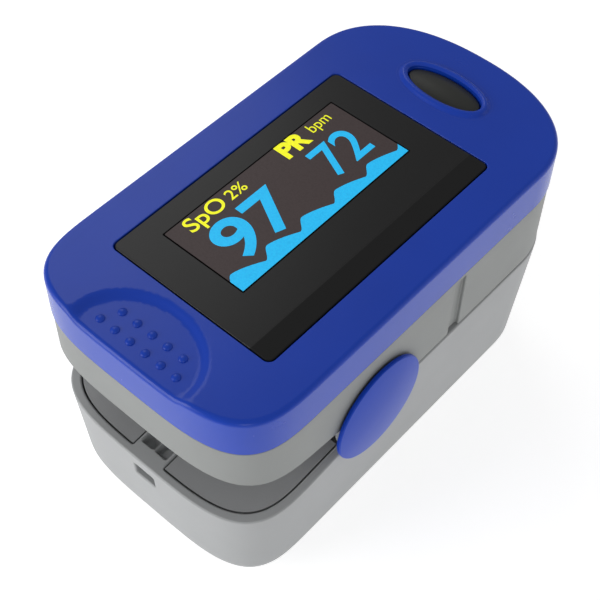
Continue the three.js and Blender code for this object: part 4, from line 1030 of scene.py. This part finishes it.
class OXIMETER_OT_lower_shell(bpy.types.Operator):
    """Build the lower shell with its rim, rim tab, lanyard slot, ears and the opening for the cell cover"""

    bl_idname = "oximeter.lower_shell"
    bl_label = "Lower Shell"

    def execute(self, context):
        wall = housing("rim_wall")
        rim_front = PARTING_Z - housing("rim_drop")
        rim_hinge = PARTING_Z - housing("rim_hinge_drop")
        parting = PARTING_Z - SEAM / 2
        shell = stack("lower_shell_skin", lower_loops(0, 0, PARTING_Z + 1))
        carve(shell, slanted_bar("over", rim_front, rim_hinge, parting))
        for side in (-1, 1):
            y0, y1 = sorted((side * (HALF_WIDTH - wall - 0.3), side * HALF_WIDTH))
            carve(shell, side_bar("ear", y0, y1, housing("ear_radius")), operation="UNION")
        slot_top = rim_front - LANYARD_DROP
        tab_end = SQUEEZE_X + wall + TAB_LENGTH
        room = stack("room", lower_loops(wall, housing("floor"), PARTING_Z + 9))
        carve(room, block("tab", SQUEEZE_X - 1, tab_end, -TAB_HALF_WIDTH, TAB_HALF_WIDTH,
                          slot_top - LANYARD_HEIGHT - 1, PARTING_Z + 10))
        carve(shell, room)
        mouth_half = PAD_HIGH.y + FRAME_ROOM
        mouth_bar = mouth("mouth", CHANNEL_Z - LOWER_PAD_LOW.z + FRAME_ROOM, mouth_half, HINGE_X + MOUTH_PAST_HINGE)
        slot_end = tab_end - 0.5
        cutters = [
            mouth_bar,
            block("cover", COVER_LOW.x - FIT, FINGER_X + 5, COVER_LOW.y - FIT, COVER_HIGH.y + FIT, -1,
                  housing("floor") + 0.3),
            block("lanyard", SQUEEZE_X - 1, slot_end, -LANYARD_HALF_WIDTH, LANYARD_HALF_WIDTH,
                  slot_top - LANYARD_HEIGHT, slot_top),
        ]
        rib = 0.14
        for side in (-1, 1):
            y0, y1 = sorted((side * rib, side * (TAB_HALF_WIDTH - 0.45)))
            cutters.append(block("tab_recess", SQUEEZE_X + wall + TAB_DEPTH, slot_end, y0, y1,
                                 slot_top - LANYARD_HEIGHT + 0.05, PARTING_Z))
        carve(shell, *cutters)
        finish(shell, LOWER_BODY, "lower_grey_plastic", "light_grey_plastic", ("lower_shell",), edge=0.18)
        return {"FINISHED"}


class OXIMETER_OT_lower_frame(bpy.types.Operator):
    """Build the inner frame: the panel inside the rim, the trough under the finger and the hinge lugs"""

    bl_idname = "oximeter.lower_frame"
    bl_label = "Lower Frame"

    def execute(self, context):
        wall = housing("rim_wall")
        gap = 0.17
        plate = 1.0
        top = PARTING_Z - 0.15
        far = FINGER_X + 10
        panel_end = HINGE_X - 4.8
        trough_start = HINGE_X + 3.7
        pad_side = PAD_HIGH.y + FIT
        trough_side = pad_side + 1.1
        pad_under = CHANNEL_Z - LOWER_PAD_LOW.z

        def inside(name, extra, z0, z1, x0, x1):
            """The shell's inside between two heights and two places along the length."""
            body = stack(name, lower_loops(wall + gap + extra, housing("floor") + gap, PARTING_Z + 2))
            return carve(
                body, block("under", -far, far, -20, 20, -5, z0), block("over", -far, far, -20, 20, z1, 60),
                block("before", -far - 5, x0, -20, 20, -6, 61), block("past", x1, far + 5, -20, 20, -6, 61),
            )

        def channel_room():
            return mouth("trough", pad_under + FIT, pad_side, trough_start + 1.1)

        rim_front = PARTING_Z - housing("rim_drop")
        rim_hinge = PARTING_Z - housing("rim_hinge_drop")
        room = TAB_HALF_WIDTH + FIT
        tab_end = SQUEEZE_X + wall + TAB_LENGTH
        panel = inside("lower_frame_skin", 0, DECK_Z, PARTING_Z - 0.5, -far, panel_end)
        carve(panel, slanted_bar("over", rim_front - 0.1, rim_hinge - 0.1, PARTING_Z + 9),
              block("tab", -far, tab_end + FIT, -room, room, DECK_Z - 1, PARTING_Z))
        deck = inside("deck", 0, DECK_Z, DECK_Z + plate, panel_end + 0.02, far)
        carve(deck, channel_room())
        channel = mouth("channel", CHANNEL_Z - DECK_Z + 0.6, trough_side, trough_start)
        shape = stack("shape", lower_loops(0.5, housing("floor"), PARTING_Z + 4))
        carve(channel, shape, operation="INTERSECT")
        carve(channel, block("top", -far, far, -20, 20, top, 60),
              block("low", -far, far, -20, 20, -5, DECK_Z + 0.02), channel_room(),
              block("cable", trough_start - 3, 6, -2.4, 2.4, DECK_Z + 0.9, DECK_Z + 1.75),
              block("sensor", 1.8, 10.2, -4.4, 4.4, DECK_Z + 0.6, DECK_Z + 2.3))
        flange = inside("flange", 0, top - 1, top, trough_start, far)
        carve(flange, channel_room())
        parts = [deck, channel, flange]
        lug = 3.0
        lug_inner, lug_outer = 10.9, 12.7
        for side in (-1, 1):
            y0, y1 = sorted((side * lug_inner, side * lug_outer))
            parts.append(side_bar("lug", y0, y1, lug))
            parts.append(block("post", HINGE_X - lug, HINGE_X + lug, y0 + 0.01, y1 - 0.01, DECK_Z + 0.5,
                               HINGE_Z))
        join(panel, *parts)
        finish(panel, LOWER_BODY, "inner_grey_plastic", "dark_grey_plastic", ("lower_frame",),
               dissolve=False)
        return {"FINISHED"}


def domed_cap_tree():
    """A round disc with a straight rim and a dome that rises with the square of its radius."""
    sizes = ("Radius", "Rim", "Dome", "Hinge X", "Hinge Z", "Seat Y", "Turn")
    tree, given, result = geometry_tree("domed_cap", [(label, "NodeSocketFloat") for label in sizes])
    disc = node(tree, "GeometryNodeMeshCylinder", {"fill_type": "TRIANGLE_FAN"}, Vertices=128,
                Side_Segments=1, Fill_Segments=24, Radius=given["Radius"], Depth=given["Rim"])
    place = node(tree, "ShaderNodeSeparateXYZ", Vector=node(tree, "GeometryNodeInputPosition").outputs[0])
    x, y, z = place.outputs
    squares = math_node(tree, "ADD", math_node(tree, "MULTIPLY", x, x), math_node(tree, "MULTIPLY", y, y))
    share = math_node(tree, "DIVIDE", math_node(tree, "SQRT", squares, 0.0), given["Radius"])
    above = math_node(tree, "GREATER_THAN", z, 0.0)
    crown = math_node(tree, "SUBTRACT", 1.0, math_node(tree, "MULTIPLY", share, share))
    rise = math_node(tree, "MULTIPLY", math_node(tree, "MULTIPLY", crown, given["Dome"]), above)
    moved = node(tree, "GeometryNodeSetPosition", Geometry=disc.outputs[0],
                 Offset=node(tree, "ShaderNodeCombineXYZ", Z=rise).outputs[0])
    centre = node(tree, "ShaderNodeCombineXYZ", X=given["Hinge X"], Y=given["Seat Y"], Z=given["Hinge Z"])
    turned = node(tree, "GeometryNodeTransform", Geometry=moved.outputs[0], Translation=centre.outputs[0],
                  Rotation=node(tree, "ShaderNodeCombineXYZ", X=given["Turn"]).outputs[0])
    end_tree(tree, given, result, turned.outputs[0])
    return tree


class OXIMETER_OT_finger_pads(bpy.types.Operator):
    """Build the two soft linings of the finger channel, each with rounded edges and a lens hole"""

    bl_idname = "oximeter.finger_pads"
    bl_label = "Finger Pads"

    def execute(self, context):
        start = PAD_LOW.x
        thick = 1.3
        end_wall = 1
        half = CHANNEL_HALF_WIDTH + thick
        outline = plan_ring(1.0)
        for name, body, low, high, reach in (
            ("upper_finger_pad", UPPER_BODY, PAD_LOW.z, PAD_HIGH.z, PAD_HIGH.z - CHANNEL_Z),
            ("lower_finger_pad", LOWER_BODY, LOWER_PAD_LOW.z, LOWER_PAD_HIGH.z, CHANNEL_Z - LOWER_PAD_LOW.z),
        ):
            outer = oval(0.0, CHANNEL_Z, half, reach, 128)
            inner = oval(0.0, CHANNEL_Z, half - thick, reach - thick, 128)
            pad = stack(f"{name}_skin", [along(outer, start), along(outer, FINGER_X + 3)])
            carve(pad, stack("shape", [flat(outline, 0), flat(outline, TOP_Z)]), operation="INTERSECT")
            carve(pad, stack("bore", [along(inner, start + end_wall), along(inner, FINGER_X + 6)]))
            carve(pad, block("under", -60, 60, -30, 30, -5, low), block("over", -60, 60, -30, 30, high, 60))
            hole = oval(LENS_X, 0.0, LENS_RADIUS + FIT, LENS_RADIUS + FIT, 64)
            carve(pad, stack("hole", [flat(hole, low - 1), flat(hole, high + 1)]))
            finish(pad, body, "silicone", "silicone", (name,), edge=0.35)
        return {"FINISHED"}


def cover_ribs_tree():
    """A row of round ribs across the body, one pitch apart along it."""
    sizes = ("Start X", "Z", "Pitch", "Radius", "Half Width")
    tree, given, result = geometry_tree(
        "cover_ribs", [(label, "NodeSocketFloat") for label in sizes] + [("Count", "NodeSocketInt")])
    start = node(tree, "ShaderNodeCombineXYZ", X=given["Start X"], Z=given["Z"])
    step = node(tree, "ShaderNodeCombineXYZ", X=given["Pitch"])
    row = node(tree, "GeometryNodeMeshLine", Count=given["Count"], Start_Location=start.outputs[0],
               Offset=step.outputs[0])
    ends = [node(tree, "ShaderNodeCombineXYZ", Y=math_node(tree, "MULTIPLY", given["Half Width"], side))
            for side in (-1, 1)]
    line = node(tree, "GeometryNodeCurvePrimitiveLine", Start=ends[0].outputs[0], End=ends[1].outputs[0])
    ring = node(tree, "GeometryNodeCurvePrimitiveCircle", Resolution=24, Radius=given["Radius"])
    rib = node(tree, "GeometryNodeCurveToMesh", Curve=line.outputs[0], Profile_Curve=ring.outputs[0],
               Fill_Caps=True)
    ribs = node(tree, "GeometryNodeInstanceOnPoints", Points=row.outputs[0], Instance=rib.outputs[0])
    end_tree(tree, given, result, ribs.outputs[0])
    return tree


class OXIMETER_OT_battery_cover(bpy.types.Operator):
    """Build the sliding cover of the cells, with a thumb recess and its grip ribs"""

    bl_idname = "oximeter.battery_cover"
    bl_label = "Battery Cover"

    def execute(self, context):
        top = COVER_HIGH.z
        half = COVER_HIGH.y - COVER_TONGUE
        pitch = 1.8
        count = 5
        recess = 0.3
        first = FINGER_X - 19
        cover = stack("battery_cover_skin", lower_loops(0, 0, top + 2))
        carve(cover, block("plate", COVER_LOW.x + COVER_TONGUE, FINGER_X + 5, -half, half, -1, top),
              operation="INTERSECT")
        tongue_end = FINGER_X - 10
        tongue = block("tongue", COVER_LOW.x, tongue_end, COVER_LOW.y, COVER_HIGH.y, top / 2 + FIT, top - 0.01)
        carve(cover, tongue, operation="UNION")
        carve(cover, block("recess", first - 0.6, first + count * pitch, -5.4, 5.4, -1, recess))
        finish(cover, "battery_cover", "lower_grey_plastic", "light_grey_plastic", ("battery_cover",),
               edge=0.12)
        radius = 0.42
        ribs = grown("battery_cover_ribs", cover_ribs_tree(), "lower_grey_plastic", Start_X=first + 0.6,
                     Z=radius, Pitch=pitch, Radius=radius, Half_Width=4.9, Count=count)
        finish(ribs, "battery_cover", "lower_grey_plastic", "light_grey_plastic")
        return {"FINISHED"}


class OXIMETER_OT_side_caps(bpy.types.Operator):
    """Build the two domed caps over the hinge"""

    bl_idname = "oximeter.side_caps"
    bl_label = "Side Caps"

    def execute(self, context):
        rim = 0.5
        seat = HALF_WIDTH + 0.1
        tree = domed_cap_tree()
        for name, side in (("left", 1), ("right", -1)):
            cap = grown(
                f"side_cap_{name}_skin", tree, "cap_plastic", Radius=CAP_RADIUS, Rim=rim,
                Dome=CAP_HIGH.y - seat - rim, Hinge_X=HINGE_X, Hinge_Z=HINGE_Z,
                Seat_Y=side * (seat + rim / 2), Turn=-side * math.pi / 2,
            )
            finish(cap, LOWER_BODY, "cap_plastic", "blue_plastic", (f"side_cap_{name}",), edge=0.13,
                   dissolve=False)
        return {"FINISHED"}


class OXIMETER_OT_stage(bpy.types.Operator):
    """Build the floor, the soft light and the camera"""

    bl_idname = "oximeter.stage"
    bl_label = "Stage"

    def execute(self, context):
        scene = context.scene
        scene.view_settings.view_transform = "Standard"
        size = 8000
        floor = stack("floor", [flat(oval(0, 0, size, size), -10), flat(oval(0, 0, size, size), -0.01)])
        floor.data.transform(Matrix.Scale(MM, 4))
        material = bpy.data.materials.new("pale_floor")
        material.use_nodes = True
        shader = material.node_tree.nodes["Principled BSDF"]
        for socket, value in (
            ("Base Color", (0.85, 0.85, 0.85, 1)), ("Roughness", 0.8), ("Specular IOR Level", 0.1),
            ("Emission Color", (1, 1, 1, 1)), ("Emission Strength", 0.58),
        ):
            shader.inputs[socket].default_value = value
        floor.data.materials.append(material)

        world = bpy.data.worlds.new("soft_sky")
        world.use_nodes = True
        tree = world.node_tree
        background = tree.nodes["Background"]
        background.inputs["Color"].default_value = (1, 1, 1, 1)
        seen = tree.nodes.new("ShaderNodeLightPath").outputs["Is Camera Ray"]
        strength = math_node(tree, "ADD", math_node(tree, "MULTIPLY", seen, 0.56), 0.42)
        tree.links.new(strength, background.inputs["Strength"])
        scene.world = world

        lights = (
            ("back_left", (150, 300, 340), 260, 0.25),
            ("front_left", (-330, 190, 140), 260, 0.62),
            ("near_corner", (-260, -240, 200), 80, 0.11),
            ("right_side", (220, -300, 140), 200, 0.05),
        )
        for name, place_mm, side, power in lights:
            data = bpy.data.lights.new(name, "AREA")
            data.shape = "DISK"
            data.size = side * MM
            data.energy = power
            light = bpy.data.objects.new(name, data)
            light.location = Vector(place_mm) * MM
            aim = Vector((0, 0, 17)) * MM - light.location
            light.rotation_mode = "QUATERNION"
            light.rotation_quaternion = aim.to_track_quat("-Z", "Y")
            scene.collection.objects.link(light)

        azimuth, elevation, roll = (math.radians(v) for v in (-49.3, 52.14, 1.14))
        back = Vector((math.sin(azimuth) * math.cos(elevation), -math.cos(azimuth) * math.cos(elevation),
                       math.sin(elevation)))
        right = Vector((math.cos(azimuth), math.sin(azimuth), 0))
        up = back.cross(right)
        cosine, sine = math.cos(roll), math.sin(roll)
        right, up = right * cosine + up * sine, up * cosine - right * sine
        target = Vector((-2.3, 0.6, 17.0))
        camera_data = bpy.data.cameras.new("camera")
        camera_data.lens = 77.1
        camera_data.clip_start = 0.01
        camera = bpy.data.objects.new("camera", camera_data)
        place = (target + back * 148.8) * MM
        camera.matrix_world = Matrix((
            (right.x, up.x, back.x, place.x), (right.y, up.y, back.y, place.y),
            (right.z, up.z, back.z, place.z), (0, 0, 0, 1),
        ))
        scene.collection.objects.link(camera)
        scene.camera = camera
        return {"FINISHED"}


CARRIED = {
    "inner_grey_plastic": ("upper_frame",),
    "white_plastic": ("display_bracket", "cable_socket", "led_emitter"),
    "screen_edge": ("display_panel",),
    "polyimide": ("display_ribbon", "flex_cable"),
    "circuit_board": ("main_board", "sensor_board"),
    "chip_black": ("processor_chip", "amplifier_chip", "photodiode"),
    "plated_steel": ("button_switch", "hinge_pin_left", "hinge_pin_right", "contact_bridge",
                     "negative_contact", "positive_contact"),
    "spring_steel": ("torsion_spring_left", "torsion_spring_right"),
    "screw_steel": ("upper_screw_1", "upper_screw_2", "upper_screw_3", "lower_screw_1", "lower_screw_2",
                    "lower_screw_3", "lower_screw_4"),
    "clear_lens": ("emitter_lens", "photodiode_lens"),
    "cell_wrap": ("battery_1", "battery_2"),
}


def smooth_tree():
    """Smooth faces, with sharp edges where two faces meet at more than an angle."""
    tree = bpy.data.node_groups.new("smooth_by_angle", "GeometryNodeTree")
    tree.interface.new_socket("Geometry", in_out="INPUT", socket_type="NodeSocketGeometry")
    tree.interface.new_socket("Geometry", in_out="OUTPUT", socket_type="NodeSocketGeometry")
    given, result = tree.nodes.new("NodeGroupInput").outputs, tree.nodes.new("NodeGroupOutput").inputs
    faces = node(tree, "GeometryNodeSetShadeSmooth", Geometry=given["Geometry"])
    angle = tree.nodes.new("GeometryNodeInputMeshEdgeAngle").outputs["Unsigned Angle"]
    sharp = math_node(tree, "GREATER_THAN", angle, math.radians(35))
    edges = node(tree, "GeometryNodeSetShadeSmooth", {"domain": "EDGE"}, Geometry=faces.outputs[0],
                 Selection=sharp, Shade_Smooth=False)
    tree.links.new(edges.outputs[0], result["Geometry"])
    return tree


class OXIMETER_OT_carried_parts(bpy.types.Operator):
    """Give every part that is carried over from the frame its finish and smooth faces"""

    bl_idname = "oximeter.carried_parts"
    bl_label = "Carried Parts"

    def execute(self, context):
        tree = smooth_tree()
        for finish_name, names in CARRIED.items():
            for name in names:
                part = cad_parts[name]
                part.data.materials.clear()
                part.data.materials.append(finish_named(finish_name))
                part.modifiers.new("weld", "WELD").merge_threshold = 0.002 * MM
                part.modifiers.new("smooth", "NODES").node_group = tree
        return {"FINISHED"}


class OXIMETER_PT_parts(bpy.types.Panel):
    """Lists the pieces of the oximeter"""

    bl_label = "Oximeter"
    bl_idname = "OXIMETER_PT_parts"
    bl_space_type = "VIEW_3D"
    bl_region_type = "UI"
    bl_category = "Oximeter"

    def draw(self, context):
        for operator in OPERATORS:
            self.layout.operator(operator.bl_idname)


OPERATORS = (
    OXIMETER_OT_stage,
    OXIMETER_OT_top_cover,
    OXIMETER_OT_grip_bumps,
    OXIMETER_OT_window,
    OXIMETER_OT_picture,
    OXIMETER_OT_power_button,
    OXIMETER_OT_upper_shell,
    OXIMETER_OT_lower_shell,
    OXIMETER_OT_lower_frame,
    OXIMETER_OT_finger_pads,
    OXIMETER_OT_battery_cover,
    OXIMETER_OT_side_caps,
    OXIMETER_OT_carried_parts,
)
CLASSES = (
    HousingSettings, DisplaySettings, FinishSettings, OximeterSettings, *OPERATORS, OXIMETER_PT_parts,
)


def register():
    for cls in CLASSES:
        bpy.utils.register_class(cls)
    bpy.types.Scene.oximeter = bpy.props.PointerProperty(type=OximeterSettings)


def unregister():
    del bpy.types.Scene.oximeter
    for cls in reversed(CLASSES):
        bpy.utils.unregister_class(cls)


def main():
    register()
    for operator in OPERATORS:
        category, name = operator.bl_idname.split(".")
        getattr(getattr(bpy.ops, category), name)()


if __name__ == "__main__":
    main()
